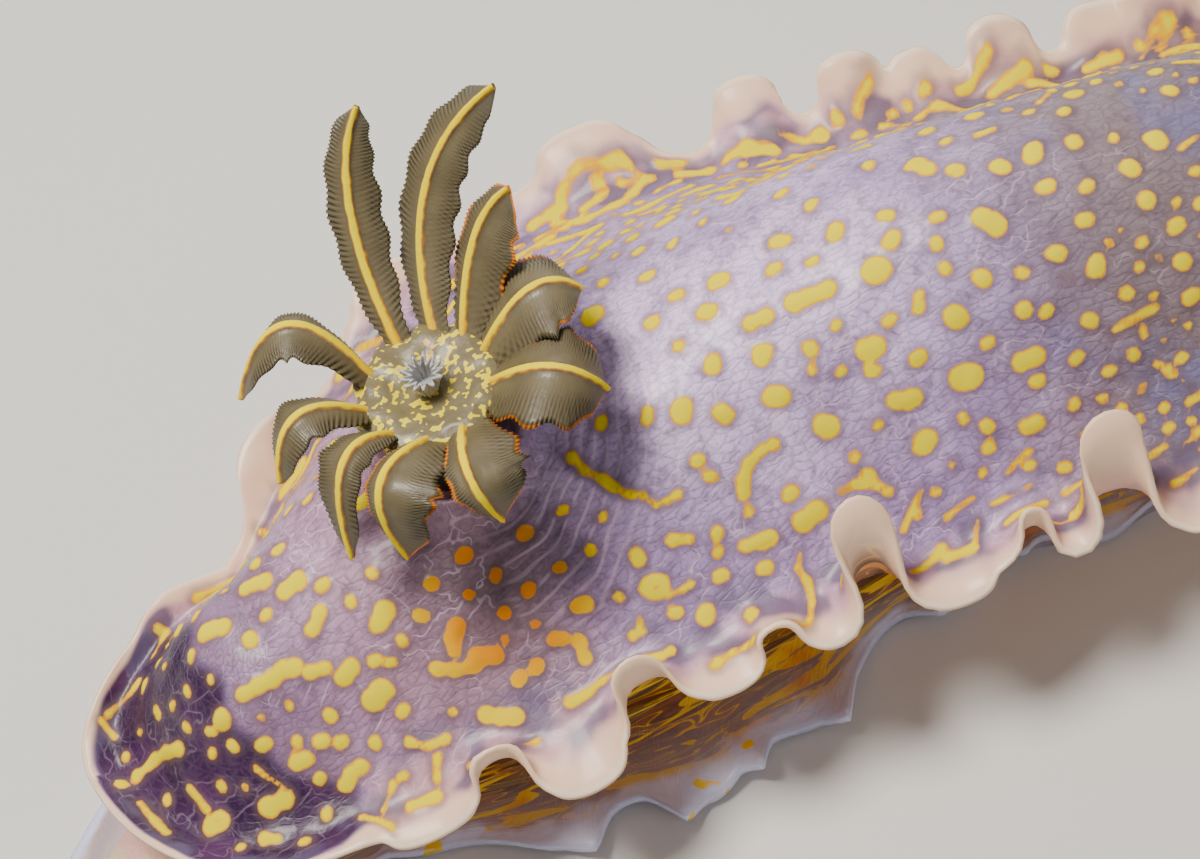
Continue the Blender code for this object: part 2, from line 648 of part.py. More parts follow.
def add_gill_leaf(number, row, material):
    """Adds one leaf: a ridge on its inner face and cross lamellae out to its keel."""
    count = 2 * LAMELLAE + 1
    path = leaf_path(row, count)
    shape = along(LEAF_SHAPE, np.linspace(0.0, 1.0, count))
    rings = []
    for i in range(count):
        cut = LAMELLA_CUT if i % 2 else 1.0
        rings.append([leaf_point(a, b, row[7:9], shape[i], cut) for a, b in LEAF_SECTION])
    bm = loft(sweep(path, rings), [True] * len(LEAF_SECTION))
    add_object(f"gill_leaf_{number:02d}", bm, material)


def add_rhinophore(side, material):
    """Adds one rhinophore: a stalk and a club ringed by slanting leaves."""
    stalk, club, height = RHINOPHORE
    s, y = RHINOPHORE_PLACE
    sides = 12
    base = circle((s, side * y, 0.0), stalk, sides)
    base[:, 2] = height_at(base[:, 0], base[:, 1]) + GAP
    floor = float(height_at(s, side * y)) + GAP
    rings = [base]
    steps = 2 * RHINOPHORE_LEAVES
    levels = [STALK_RING[0]] + [CLUB_FROM + (1 - CLUB_FROM) * i / steps for i in range(steps + 1)]
    for i, level in enumerate(levels):
        t = max(0.0, (level - CLUB_FROM) / (1 - CLUB_FROM))
        swell = stalk + (club - stalk) * math.sin(math.pi * min(1.0, t * 1.4) / 2)
        taper = max(0.0, (t - CLUB_TAPER_FROM) / (1 - CLUB_TAPER_FROM)) ** CLUB_TAPER_POWER
        radius = swell * math.sqrt(max(0.05, 1 - taper))
        if level < CLUB_FROM:
            radius = stalk * STALK_RING[1]
        if 0 < t < 0.95 and i % 2 == 0:
            radius *= RHINOPHORE_CUT
        centre = (s + RHINOPHORE_LEAN[0] * level * height, side * (y + RHINOPHORE_LEAN[1] * level * height),
                  floor + level * height)
        ring = circle(centre, radius, sides)
        if t > 0:
            ring[:, 2] += (ring[:, 0] - centre[0]) * RHINOPHORE_SLANT * (1 - t)
        rings.append(ring)
    name = "rhinophore_left" if side > 0 else "rhinophore_right"
    add_object(name, loft(np.array(rings), [True] * sides), material)


def add_oral_tentacle(side, head, material):
    """Adds one oral tentacle, cut back a gap from the head."""
    root, tip = (np.array((s, side * y, z)) for s, y, z in (TENTACLE_ROOT, TENTACLE_TIP))
    sides = 10
    turns = np.arange(sides) * 2 * math.pi / sides
    path = []
    rings = []
    for t in TENTACLE_LEVELS:
        radius = TENTACLE[0] + (TENTACLE[1] - TENTACLE[0]) * t
        if t == 1.0:
            radius *= 0.45
        path.append(root + (tip - root) * t)
        rings.append([(radius * math.cos(a), radius * math.sin(a)) for a in turns])
    bm = loft(sweep(path, rings), [True] * sides)
    item = add_object(f"oral_tentacle_{'left' if side > 0 else 'right'}", bm, material)
    wider = bmesh.new()
    wider.from_mesh(head.data)
    wider.normal_update()
    for vert in wider.verts:
        vert.co += vert.normal * GAP * MM
    cutter = add_object("cutter", wider, material)
    apply_boolean(item, [cutter], "DIFFERENCE")


def main():
    """Builds every node."""
    remove_everything()
    mantle = principled("mantle_skin", (0.30, 0.27, 0.42), 0.35)
    flank = principled("flank_skin", (0.23, 0.20, 0.11), 0.4)
    foot = principled("foot_skin", (0.55, 0.62, 0.72), 0.4)
    gill = principled("gill_skin", (0.13, 0.12, 0.07), 0.4)
    dark = principled("rhinophore_skin", (0.03, 0.04, 0.14), 0.4)
    pale = principled("papilla_skin", (0.6, 0.62, 0.62), 0.4)
    add_mantle(mantle)
    head = add_flank(flank)
    add_foot(foot)
    add_collar("gill_pocket", GILL_CENTRE, POCKET, mantle)
    add_gill_disc(gill)
    add_papilla(pale)
    for number, row in enumerate(GILL_LEAVES, start=1):
        add_gill_leaf(number, row, gill)
    for side in (1, -1):
        name = "left" if side > 0 else "right"
        place_of_sheath = (RHINOPHORE_PLACE[0], side * RHINOPHORE_PLACE[1])
        add_collar(f"rhinophore_sheath_{name}", place_of_sheath, SHEATH, mantle)
        add_rhinophore(side, dark)
        add_oral_tentacle(side, head, flank)


main()
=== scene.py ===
"""Dresses a crawling dorid sea slug: one ruffled skin, its gill plume, rhinophores and feelers.

Sizes are in millimetres and body coordinates: s runs forward along the body's middle line, y to
the animal's left and z up from the floor. BodyPlan.place() bends the middle line to the animal's
right and gives metres. A section p has a side, -1 right or +1 left, and a reach r, 0 on the
middle line and 1 at the mantle's rim.
"""
import logging
import math
import random
from dataclasses import dataclass, field
from enum import Enum
from typing import Callable

import bmesh
import bpy
import numpy as np
from mathutils import Matrix, Vector, noise


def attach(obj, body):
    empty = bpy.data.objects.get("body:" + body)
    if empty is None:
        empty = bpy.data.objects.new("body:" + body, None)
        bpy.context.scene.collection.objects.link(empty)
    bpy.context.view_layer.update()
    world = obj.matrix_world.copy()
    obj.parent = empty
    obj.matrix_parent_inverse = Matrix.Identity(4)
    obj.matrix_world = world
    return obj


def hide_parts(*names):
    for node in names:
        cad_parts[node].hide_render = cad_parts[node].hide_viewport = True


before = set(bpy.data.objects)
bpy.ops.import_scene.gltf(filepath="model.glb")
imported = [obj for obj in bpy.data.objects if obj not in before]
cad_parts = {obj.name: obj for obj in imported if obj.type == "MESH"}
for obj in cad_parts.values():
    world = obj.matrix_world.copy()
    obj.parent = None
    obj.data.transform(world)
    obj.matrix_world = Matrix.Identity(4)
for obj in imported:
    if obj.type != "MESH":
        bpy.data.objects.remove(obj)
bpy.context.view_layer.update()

logging.basicConfig(level=logging.INFO, format="%(message)s")
LOG = logging.getLogger("sea_slug")

# Metres in a millimetre, and the distance in metres within which points are merged
MM = 0.001
MERGE = 0.000001
# Distance in mm given to points that are nowhere near the rim or the foot's margin
FAR = 9.0
SEED = 41

Knots = tuple[tuple[float, float], ...]
Colour = tuple[float, float, float]
Row = tuple[float, ...]


class Side(Enum):
    """The animal's two sides, as the sign of y."""

    RIGHT = -1
    LEFT = 1


class Zone(Enum):
    """Stretches of a section across the skin, from the back to the sole."""

    BACK = 0
    UNDER_RIM = 1
    FLANK = 2
    FOOT = 3
    SOLE = 4


def along(knots: Knots, s: np.ndarray) -> np.ndarray:
    """Smooth value through a short table.

    Args:
        knots: Pairs of station and value.
        s: Stations to read.

    Returns:
        The values at s, level beyond the table's ends.
    """
    x, y = np.array(knots, dtype=float).T
    slope = np.gradient(y, x)
    s = np.clip(s, x[0], x[-1])
    i = np.clip(np.searchsorted(x, s, side="right") - 1, 0, len(x) - 2)
    step = x[i + 1] - x[i]
    t = (s - x[i]) / step
    rise = t * t * (3 - 2 * t)
    ends = (1 - rise) * y[i] + rise * y[i + 1]
    return ends + step * (slope[i] * (t - 2 * t ** 2 + t ** 3) + slope[i + 1] * (t ** 3 - t ** 2))


def ease(t: np.ndarray) -> np.ndarray:
    """Smooth step from 0 to 1."""
    t = np.clip(t, 0.0, 1.0)
    return t * t * (3 - 2 * t)


def link(name: str, data: bpy.types.ID) -> bpy.types.Object:
    """Object of the given data, linked to the scene."""
    item = bpy.data.objects.new(name, data)
    bpy.context.scene.collection.objects.link(item)
    return item


def ring_turns(count: int) -> np.ndarray:
    """Angles of the points of a ring."""
    return np.linspace(0, 2 * math.pi, count + 1)[:-1]


def linear(colour: Colour) -> Colour:
    """Linear values of an sRGB colour given from 0 to 255."""
    parts = (c / 255 for c in colour)
    return tuple(c / 12.92 if c <= 0.04045 else ((c + 0.055) / 1.055) ** 2.4 for c in parts)


@dataclass(frozen=True)
class BodyPlan:
    """Form of the whole body, the same as the solids' own."""

    length: float = 96.0
    bend: float = 0.557
    middle: float = 48.0
    shift: tuple[float, float] = (4.98, -0.38)
    s_rear: float = 9.0
    s_front: float = 85.0
    p_rear: float = -5.0
    p_front: float = 102.0
    right_rim: Knots = (
        (9, 12.0), (14, 13.1), (20, 13.9), (27, 14.2), (34, 14.6), (42, 15.0), (50, 15.3),
        (58, 15.4), (66, 15.1), (76, 14.1), (85, 12.2))
    left_rim: Knots = (
        (9, 6.0), (12, 8.7), (16, 12.6), (20, 15.2), (27, 17.3), (34, 17.5), (42, 15.6),
        (50, 14.1), (58, 13.4), (66, 13.6), (76, 13.3), (85, 11.9))
    rim_height: Knots = ((9, 7.8), (14, 8.7), (20, 9.4), (27, 10.0), (34, 10.4), (50, 10.8),
                         (66, 10.3), (76, 9.7), (85, 9.2))
    crest: Knots = ((9, 13.0), (14, 14.3), (20, 15.4), (27, 16.5), (34, 18.0), (42, 19.7),
                    (50, 20.3), (58, 19.9), (66, 18.8), (76, 16.9), (85, 14.4))
    rear_rim: float = 6.2
    rear_reach: float = 10.8
    front_rim: float = 8.4
    dome_edge: float = 0.88
    dome_power: float = 1.3
    rim_lift: float = 0.5
    rim_lift_from: float = 0.85
    root: float = 0.66
    edge_thick: float = 0.3
    root_thick: float = 2.0
    thick_power: float = 1.5
    frill_start: float = 0.76
    frill_power: float = 1.8
    curl_power: float = 2.6
    right_ruffles: tuple[Row, ...] = (
        (12.0, 4.6, -0.8, 0.9, 0.1, 0.0), (16.4, 2.2, 1.3, -1.2, 0.08, 0.0),
        (20.2, 4.2, -1.3, 1.8, 0.12, 0.0), (24.8, 2.4, 2.2, -1.6, 0.16, -0.3),
        (28.6, 3.2, -0.6, 0.8, 0.1, 0.0), (31.7, 1.9, 1.1, -0.7, 0.1, 0.0),
        (34.4, 2.2, -0.5, 0.7, 0.08, 0.0), (37.1, 2.6, 4.6, -3.2, 0.22, 0.3),
        (41.0, 3.4, -0.9, 0.8, 0.1, 0.0), (45.5, 1.8, 1.7, -1.4, 0.1, 0.0),
        (47.3, 1.8, -0.8, 0.6, 0.08, 0.0), (49.8, 3.0, 4.4, -3.2, 0.22, 0.5),
        (53.8, 2.8, -0.9, 1.0, 0.1, 0.0))
    left_ruffles: tuple[Row, ...] = (
        (1.5, 4.4, 0.3, -0.4, 0.0, 0.0), (6.2, 2.6, 0.4, 0.4, 0.02, 0.0),
        (9.6, 1.8, -0.3, 0.0, 0.0, 0.0), (12.9, 3.2, 1.4, 1.2, 0.08, 0.0),
        (17.4, 2.6, -0.8, -0.8, 0.08, 0.0), (22.0, 3.5, 0.8, 0.5, 0.1, 0.0),
        (27.0, 3.0, -0.4, -0.3, 0.1, 0.0), (33.8, 4.4, 1.2, 1.5, 0.1, 0.0),
        (38.5, 2.0, -0.3, -1.3, 0.06, 0.0), (42.0, 3.1, 1.5, 1.7, 0.1, 0.0),
        (44.4, 1.4, -0.3, -0.9, 0.05, 0.0), (47.0, 3.2, 1.8, 1.4, 0.1, 0.0),
        (48.9, 1.2, -0.2, -0.4, 0.05, 0.0), (50.3, 2.4, 1.3, 1.0, 0.06, 0.0),
        (52.0, 1.4, -0.3, -0.8, 0.05, 0.0), (54.2, 3.2, 1.8, 1.5, 0.08, 0.0),
        (56.6, 1.4, -0.3, -0.7, 0.04, 0.0), (58.7, 2.5, 1.3, 1.1, 0.06, 0.0))
    front_ruffles_from: float = 62.0
    front_ruffle_pitch: float = 5.0
    front_ruffle: Row = (3.3, 2.0, 1.0, 0.11)
    right_base: Knots = (
        (9, 8.2), (20, 9.6), (34, 9.4), (42, 8.2), (50, 7.8), (66, 8.2), (76, 7.8), (85, 6.4))
    left_base: Knots = (
        (9, 3.7), (14, 8.0), (20, 10.0), (34, 10.8), (50, 9.6), (66, 9.2), (76, 8.6), (85, 6.6))
    base_rear: float = 6.8
    base_front: float = 5.6
    flank_top: tuple[float, float] = (0.985, 0.74)
    snout_reach: float = 7.8
    flank_bulge: float = 0.6
    right_foot: Knots = (
        (9, 8.8), (14, 12.0), (20, 13.6), (27, 14.4), (32, 13.7), (37, 11.2), (42, 9.8), (58, 9.5),
        (68, 9.8), (77, 9.4), (85, 7.8))
    left_foot: Knots = (
        (9, 5.6), (14, 9.8), (20, 12.6), (34, 13.6), (50, 12.2), (66, 11.6), (77, 10.4), (85, 8.2))
    tail_length: float = 13.0
    foot_front: float = 6.4
    tail_point: float = 2.0
    tail_swing: float = 4.2
    tail_swing_from: float = 8.0
    tail_swing_power: float = 1.2
    foot_top: float = 2.4
    foot_edge: tuple[float, float] = (0.35, 0.95)
    foot_wave: float = 0.55
    foot_wave_pitch: float = 6.4
    foot_sway: float = 0.6
    foot_sway_pitch: float = 1.3
    foot_calm: tuple[float, float] = (14.0, 12.0)
    sole_part: float = 0.84
    gill: tuple[float, float] = (21.7, 0.5)
    rhinophore: tuple[float, float] = (82.5, 4.4)

    def place(self, points: np.ndarray) -> np.ndarray:
        """Bends body coordinates to world metres.

        Args:
            points: Body coordinates in millimetres, last axis s, y, z.

        Returns:
            World coordinates in metres, in the same shape.
        """
        points = np.asarray(points, dtype=float)
        radius = self.length / self.bend
        turn = (points[..., 0] - self.middle) / radius
        x = radius * np.sin(turn) + points[..., 1] * np.sin(turn) + self.shift[0]
        y = radius * (np.cos(turn) - 1) + points[..., 1] * np.cos(turn) + self.shift[1]
        return np.stack([x, y, points[..., 2]], -1) * MM

    def station(self, p: np.ndarray) -> tuple[np.ndarray, np.ndarray, np.ndarray]:
        """Middle-line station of section p and its turn into the rear and the front end cap."""
        rear = np.clip((self.s_rear - p) / (self.s_rear - self.p_rear), 0, 1) * math.pi / 2
        front = np.clip((p - self.s_front) / (self.p_front - self.s_front), 0, 1) * math.pi / 2
        return np.clip(p, self.s_rear, self.s_front), rear, front

    def outline(self, p: np.ndarray, half: np.ndarray, rear_reach: float, front_reach: float,
                point: np.ndarray | float = 1.0) -> tuple[np.ndarray, np.ndarray]:
        """Offset along and across of an outline from its middle-line station.

        Args:
            p: Sections.
            half: Half-widths at those sections.
            rear_reach: How far the outline runs back from the last station.
            front_reach: How far it runs ahead of the first.
            point: Power that draws the rear end to a point.

        Returns:
            Offsets along the body and across it.
        """
        rear, front = self.station(p)[1:]
        ahead = front_reach * np.sin(front) - rear_reach * np.sin(rear)
        return ahead, half * np.cos(rear) ** point * np.cos(front)

    def by_side(self, side: np.ndarray, left: Knots, right: Knots, s: np.ndarray) -> np.ndarray:
        """Value at s of the left table or the right one."""
        return np.where(np.asarray(side) > 0, along(left, s), along(right, s))

    def front_ruffles(self, side: Side) -> tuple[Row, ...]:
        """Ruffles of the mantle's front third, in the same form as the tables."""
        chance = random.Random(SEED + side.value)
        half, lift, lean, loop = self.front_ruffle
        rows = []
        p = self.front_ruffles_from
        while p < self.p_front - half:
            size = chance.uniform(0.75, 1.15)
            rows.append((p, half * size, lift * size, lean * size, loop, 0.0))
            p += self.front_ruffle_pitch * size
        return tuple(rows)

    def ruffles(self, side: Side) -> tuple[Row, ...]:
        """All ruffles of one side: section, half-length, lift, outward lean, loop and skew."""
        own = self.left_ruffles if side is Side.LEFT else self.right_ruffles
        return own + self.front_ruffles(side)

    def frill(self, p: np.ndarray, side: np.ndarray, r: np.ndarray) -> tuple[np.ndarray, ...]:
        """Shift of the mantle's border from its ruffles.

        Args:
            p: Sections.
            side: Signs of the sides.
            r: Reaches.

        Returns:
            Shifts along the rim, outward and up.
        """
        reach = np.clip((r - self.frill_start) / (1 - self.frill_start), 0, 1.2)
        rise = reach ** self.frill_power
        curl = reach ** self.curl_power
        forward = np.zeros_like(p + r)
        out = np.zeros_like(p + r)
        up = np.zeros_like(p + r)
        for one_side in Side:
            for centre, half, lift, lean, loop, skew in self.ruffles(one_side):
                u = (p - centre) / half
                here = (side == one_side.value) & (np.abs(u) < 1)
                bump = here * 0.5 * (1 + np.cos(math.pi * u))
                up = up + lift * bump * rise
                out = out + lean * bump * curl
                forward = forward + (here * loop * half * np.sin(2 * math.pi * u) + skew * bump) * curl
        return forward, out, up

    def mantle_top(self, p: np.ndarray, side: np.ndarray, r: np.ndarray,
                   frilled: bool = True) -> np.ndarray:
        """Points of the mantle's upper face.

        Args:
            p: Sections.
            side: Signs of the sides.
            r: Reaches.
            frilled: Whether the border has its ruffles.

        Returns:
            Body coordinates of the points.
        """
        p, side, r = np.broadcast_arrays(*(np.asarray(a, float) for a in (p, side, r)))
        middle, rear, front = self.station(p)
        width = self.by_side(side, self.left_rim, self.right_rim, middle)
        ahead, across = self.outline(p, width, self.rear_reach, self.length - self.s_front)
        rim = along(self.rim_height, middle)
        rim = rim + (self.rear_rim - self.rim_height[0][1]) * (1 - np.cos(rear))
        rim = rim + (self.front_rim - self.rim_height[-1][1]) * (1 - np.cos(front))
        dome = 0.5 * (1 + np.cos(math.pi * np.clip(r / self.dome_edge, 0, 1) ** self.dome_power))
        lift = self.rim_lift * ease((r - self.rim_lift_from) / (1 - self.rim_lift_from))
        z = rim + (along(self.crest, middle) - rim) * dome + lift
        span = np.hypot(ahead, across) + 1e-9
        away_s, away_y = ahead / span, side * across / span
        forward, out, up = self.frill(p, side, r) if frilled else (0.0, 0.0, 0.0)
        s = middle + r * ahead + out * away_s + side * forward * away_y
        y = side * r * across + out * away_y - side * forward * away_s
        return np.stack([s, y, z + up], -1)

    def mantle_under(self, p: np.ndarray, side: np.ndarray, r: np.ndarray) -> np.ndarray:
        """Points of the border's lower face, its thickness inside the upper one."""
        p, side, r = np.broadcast_arrays(*(np.asarray(a, float) for a in (p, side, r)))
        step = 0.02
        ahead = self.mantle_top(p + step, side, r) - self.mantle_top(p - step, side, r)
        outward = self.mantle_top(p, side, r + step / 5) - self.mantle_top(p, side, r - step / 5)
        normal = np.cross(ahead, outward) * side[..., None]
        normal = normal / (np.linalg.norm(normal, axis=-1, keepdims=True) + 1e-12)
        part = np.clip((1 - r) / (1 - self.root), 0, 1)
        thick = part ** self.thick_power
        thick = self.edge_thick + (self.root_thick - self.edge_thick) * thick
        return self.mantle_top(p, side, r) - normal * thick[..., None]

    def seat_middle(self, p: np.ndarray) -> np.ndarray:
        """Middle-line point at the height where the border's root meets the flank."""
        middle = self.station(p)[0]
        left = self.mantle_under(middle, 1, self.root)
        right = self.mantle_under(middle, -1, self.root)
        height = 0.5 * (left[..., 2] + right[..., 2])
        return np.stack([middle, np.zeros_like(middle), height], -1)

    def height_at(self, s: np.ndarray, y: np.ndarray) -> np.ndarray:
        """Height of the back over a place away from the end caps."""
        side = np.where(np.asarray(y) < 0, -1.0, 1.0)
        reach = np.abs(y) / self.by_side(side, self.left_rim, self.right_rim, s)
        return self.mantle_top(s, side, reach)[..., 2]

    def flank_ring(self, p: np.ndarray, side: np.ndarray, level: float) -> np.ndarray:
        """Points of the flank's wall.

        Args:
            p: Sections.
            side: Signs of the sides.
            level: 0 at the wall's top and 1 at the foot.

        Returns:
            Body coordinates of the points.
        """
        middle, rear, front = self.station(p)
        seat = self.seat_middle(p)
        keep = self.flank_top[0] + (self.flank_top[1] - self.flank_top[0]) * (1 - np.cos(front))
        root = self.mantle_under(p, side, self.root)
        top = seat + (root - seat) * keep[..., None]
        width = self.by_side(side, self.left_base, self.right_base, middle)
        ahead, across = self.outline(p, width, self.base_rear, self.base_front)
        base = np.stack([middle + ahead, side * across, np.full_like(p, self.foot_top)], -1)
        ring = top + (base - top) * level
        swell = math.sin(math.pi * level)
        snout = (self.snout_reach - self.base_front) * np.sin(front) ** 3
        ring[..., 0] += swell * (snout - self.flank_bulge * np.sin(rear))
        ring[..., 1] += side * swell * self.flank_bulge * np.cos(rear) * np.cos(front)
        return ring

    def tail_shift(self, s: np.ndarray) -> np.ndarray:
        """Sideways swing of the tail at station s."""
        part = (self.tail_swing_from - s) / (self.tail_swing_from + self.tail_length)
        return -self.tail_swing * ease(part) ** self.tail_swing_power

    def foot_ring(self, p: np.ndarray, side: np.ndarray, reach: float, z: float) -> np.ndarray:
        """Points of the foot.

        Args:
            p: Sections.
            side: Signs of the sides.
            reach: 0 under the flank's base and 1 at the foot's margin.
            z: Height before the margin's wave.

        Returns:
            Body coordinates of the points.
        """
        middle, rear, front = self.station(p)
        inner = self.outline(p, self.by_side(side, self.left_base, self.right_base, middle),
                             self.base_rear, self.base_front)
        outer = self.outline(p, self.by_side(side, self.left_foot, self.right_foot, middle),
                             self.s_rear + self.tail_length, self.foot_front,
                             1 + (self.tail_point - 1) * (rear > 0))
        wave = 0.5 + 0.5 * np.sin(2 * math.pi * p / self.foot_wave_pitch + side)
        rear_calm, front_calm = self.foot_calm
        calm = (np.clip((p - self.p_rear) / rear_calm, 0, 1)
                * np.clip((self.p_front - p) / front_calm, 0, 1))
        out = np.clip(reach, 0, 1) ** 2 * self.foot_sway * calm
        out = out * np.sin(2 * math.pi * p / (self.foot_wave_pitch * self.foot_sway_pitch) - side)
        s = middle + inner[0] + (outer[0] - inner[0]) * reach
        y = side * (inner[1] + (outer[1] - inner[1]) * reach + out * np.cos(rear))
        lift = self.foot_wave * wave * calm * np.clip((reach - 0.4) / 0.6, 0, 1) ** 2
        return np.stack([s, y + self.tail_shift(s), z + lift], -1)


class NodeBoard:
    """Short-hand for wiring the nodes of one material."""

    def __init__(self, name: str) -> None:
        """Makes the material with its Principled shader and Object coordinates."""
        self.material = bpy.data.materials.new(name)
        self.material.use_nodes = True
        self.tree = self.material.node_tree
        self.shader = self.tree.nodes["Principled BSDF"]
        self.place = self.add("ShaderNodeTexCoord").outputs["Object"]

    def add(self, kind: str, **settings: object) -> bpy.types.Node:
        """Adds a node and sets its properties."""
        node = self.tree.nodes.new(kind)
        for key, value in settings.items():
            setattr(node, key, value)
        return node

    def feed(self, socket: bpy.types.NodeSocket, value: object) -> None:
        """Links a socket or sets its constant, a colour being sRGB from 0 to 255."""
        if isinstance(value, bpy.types.NodeSocket):
            self.tree.links.new(value, socket)
        elif isinstance(value, tuple):
            socket.default_value = (*linear(value), 1.0)
        else:
            socket.default_value = value

    def attribute(self, name: str) -> bpy.types.NodeSocket:
        """Value of one of the piece's own number attributes."""
        return self.add("ShaderNodeAttribute", attribute_name=name).outputs["Fac"]

    def maths(self, operation: str, *values: object) -> bpy.types.NodeSocket:
        """Result of one arithmetic node."""
        node = self.add("ShaderNodeMath", operation=operation)
        for socket, value in zip(node.inputs, values):
            self.feed(socket, value)
        return node.outputs[0]

    def times(self, first: object, second: object) -> bpy.types.NodeSocket:
        """Product of two values."""
        return self.maths("MULTIPLY", first, second)

    def plus(self, first: object, second: object) -> bpy.types.NodeSocket:
        """Sum of two values."""
        return self.maths("ADD", first, second)

    def shaken(self, scale: float, detail: float, amount: float) -> bpy.types.NodeSocket:
        """Noise about nought, with amount as its whole spread."""
        return self.times(self.maths("SUBTRACT", self.noise(scale, detail), 0.5), amount)

    def plane(self, first: object, second: object) -> bpy.types.NodeSocket:
        """Flat vector of two values."""
        node = self.add("ShaderNodeCombineXYZ")
        self.feed(node.inputs[0], first)
        self.feed(node.inputs[1], second)
        return node.outputs[0]

    def span(self, value: object, low: float, high: float, start: float = 0.0,
             stop: float = 1.0) -> bpy.types.NodeSocket:
        """Value from low to high mapped smoothly on start to stop, and held outside."""
        node = self.add("ShaderNodeMapRange", interpolation_type="SMOOTHSTEP")
        for socket, item in zip(node.inputs, (value, low, high, start, stop)):
            self.feed(socket, item)
        return node.outputs[0]

    def noise(self, scale: float, detail: float = 2.0, vector: object = None,
              roughness: float = 0.5, distortion: float = 0.0) -> bpy.types.NodeSocket:
        """Value of a noise texture, in cells per metre on Object coordinates or on a flat vector."""
        node = self.add("ShaderNodeTexNoise", noise_dimensions="2D" if vector else "3D")
        self.feed(node.inputs["Vector"], vector or self.place)
        for key, value in (("Scale", scale), ("Detail", detail), ("Roughness", roughness),
                           ("Distortion", distortion)):
            node.inputs[key].default_value = value
        return node.outputs["Fac"]

    def cracks(self, scale: float, vector: bpy.types.NodeSocket) -> bpy.types.NodeSocket:
        """Distance to the nearest cell edge of a Voronoi texture."""
        node = self.add("ShaderNodeTexVoronoi", feature="DISTANCE_TO_EDGE", voronoi_dimensions="2D")
        self.feed(node.inputs["Vector"], vector)
        node.inputs["Scale"].default_value = scale
        return node.outputs["Distance"]

    def mix(self, factor: object, first: object, second: object) -> bpy.types.NodeSocket:
        """Mixed colour, the second one where factor is 1."""
        node = self.add("ShaderNodeMix", data_type="RGBA")
        self.feed(node.inputs[0], factor)
        self.feed(node.inputs[6], first)
        self.feed(node.inputs[7], second)
        return node.outputs[2]

    def bump(self, height: bpy.types.NodeSocket, distance: float, strength: float = 1.0) -> None:
        """Feeds the shader's normal from a height, distance in metres."""
        node = self.add("ShaderNodeBump")
        node.inputs["Distance"].default_value = distance
        node.inputs["Strength"].default_value = strength
        self.feed(node.inputs["Height"], height)
        self.feed(self.shader.inputs["Normal"], node.outputs[0])

    def finish(self, colour: bpy.types.NodeSocket, roughness: float, coat: float,
               gloss: bpy.types.NodeSocket | None = None, depth: float = 0.0) -> bpy.types.Material:
        """Sets colour and moist gloss and ends the material.

        Args:
            colour: The base colour.
            roughness: Roughness below the coat.
            coat: Weight of the moist coat.
            gloss: Where given, 1 where the surface shines and 0 where it is dull.
            depth: Where given, how far light passes into the flesh, in metres.

        Returns:
            The material.
        """
        inputs = self.shader.inputs
        self.feed(inputs["Base Color"], colour)
        for key, value in (("Roughness", roughness), ("Coat Weight", coat), ("Coat Roughness", 0.18),
                           ("Subsurface Weight", 0.35 if depth else 0.0),
                           ("Subsurface Radius", (1.0, 0.7, 0.6)), ("Subsurface Scale", depth or MM),
                           ("Specular IOR Level", 0.5)):
            inputs[key].default_value = value
        if gloss is not None:
            for key, weight in (("Coat Weight", coat), ("Specular IOR Level", 0.4)):
                self.feed(inputs[key], self.times(gloss, weight))
        return self.material


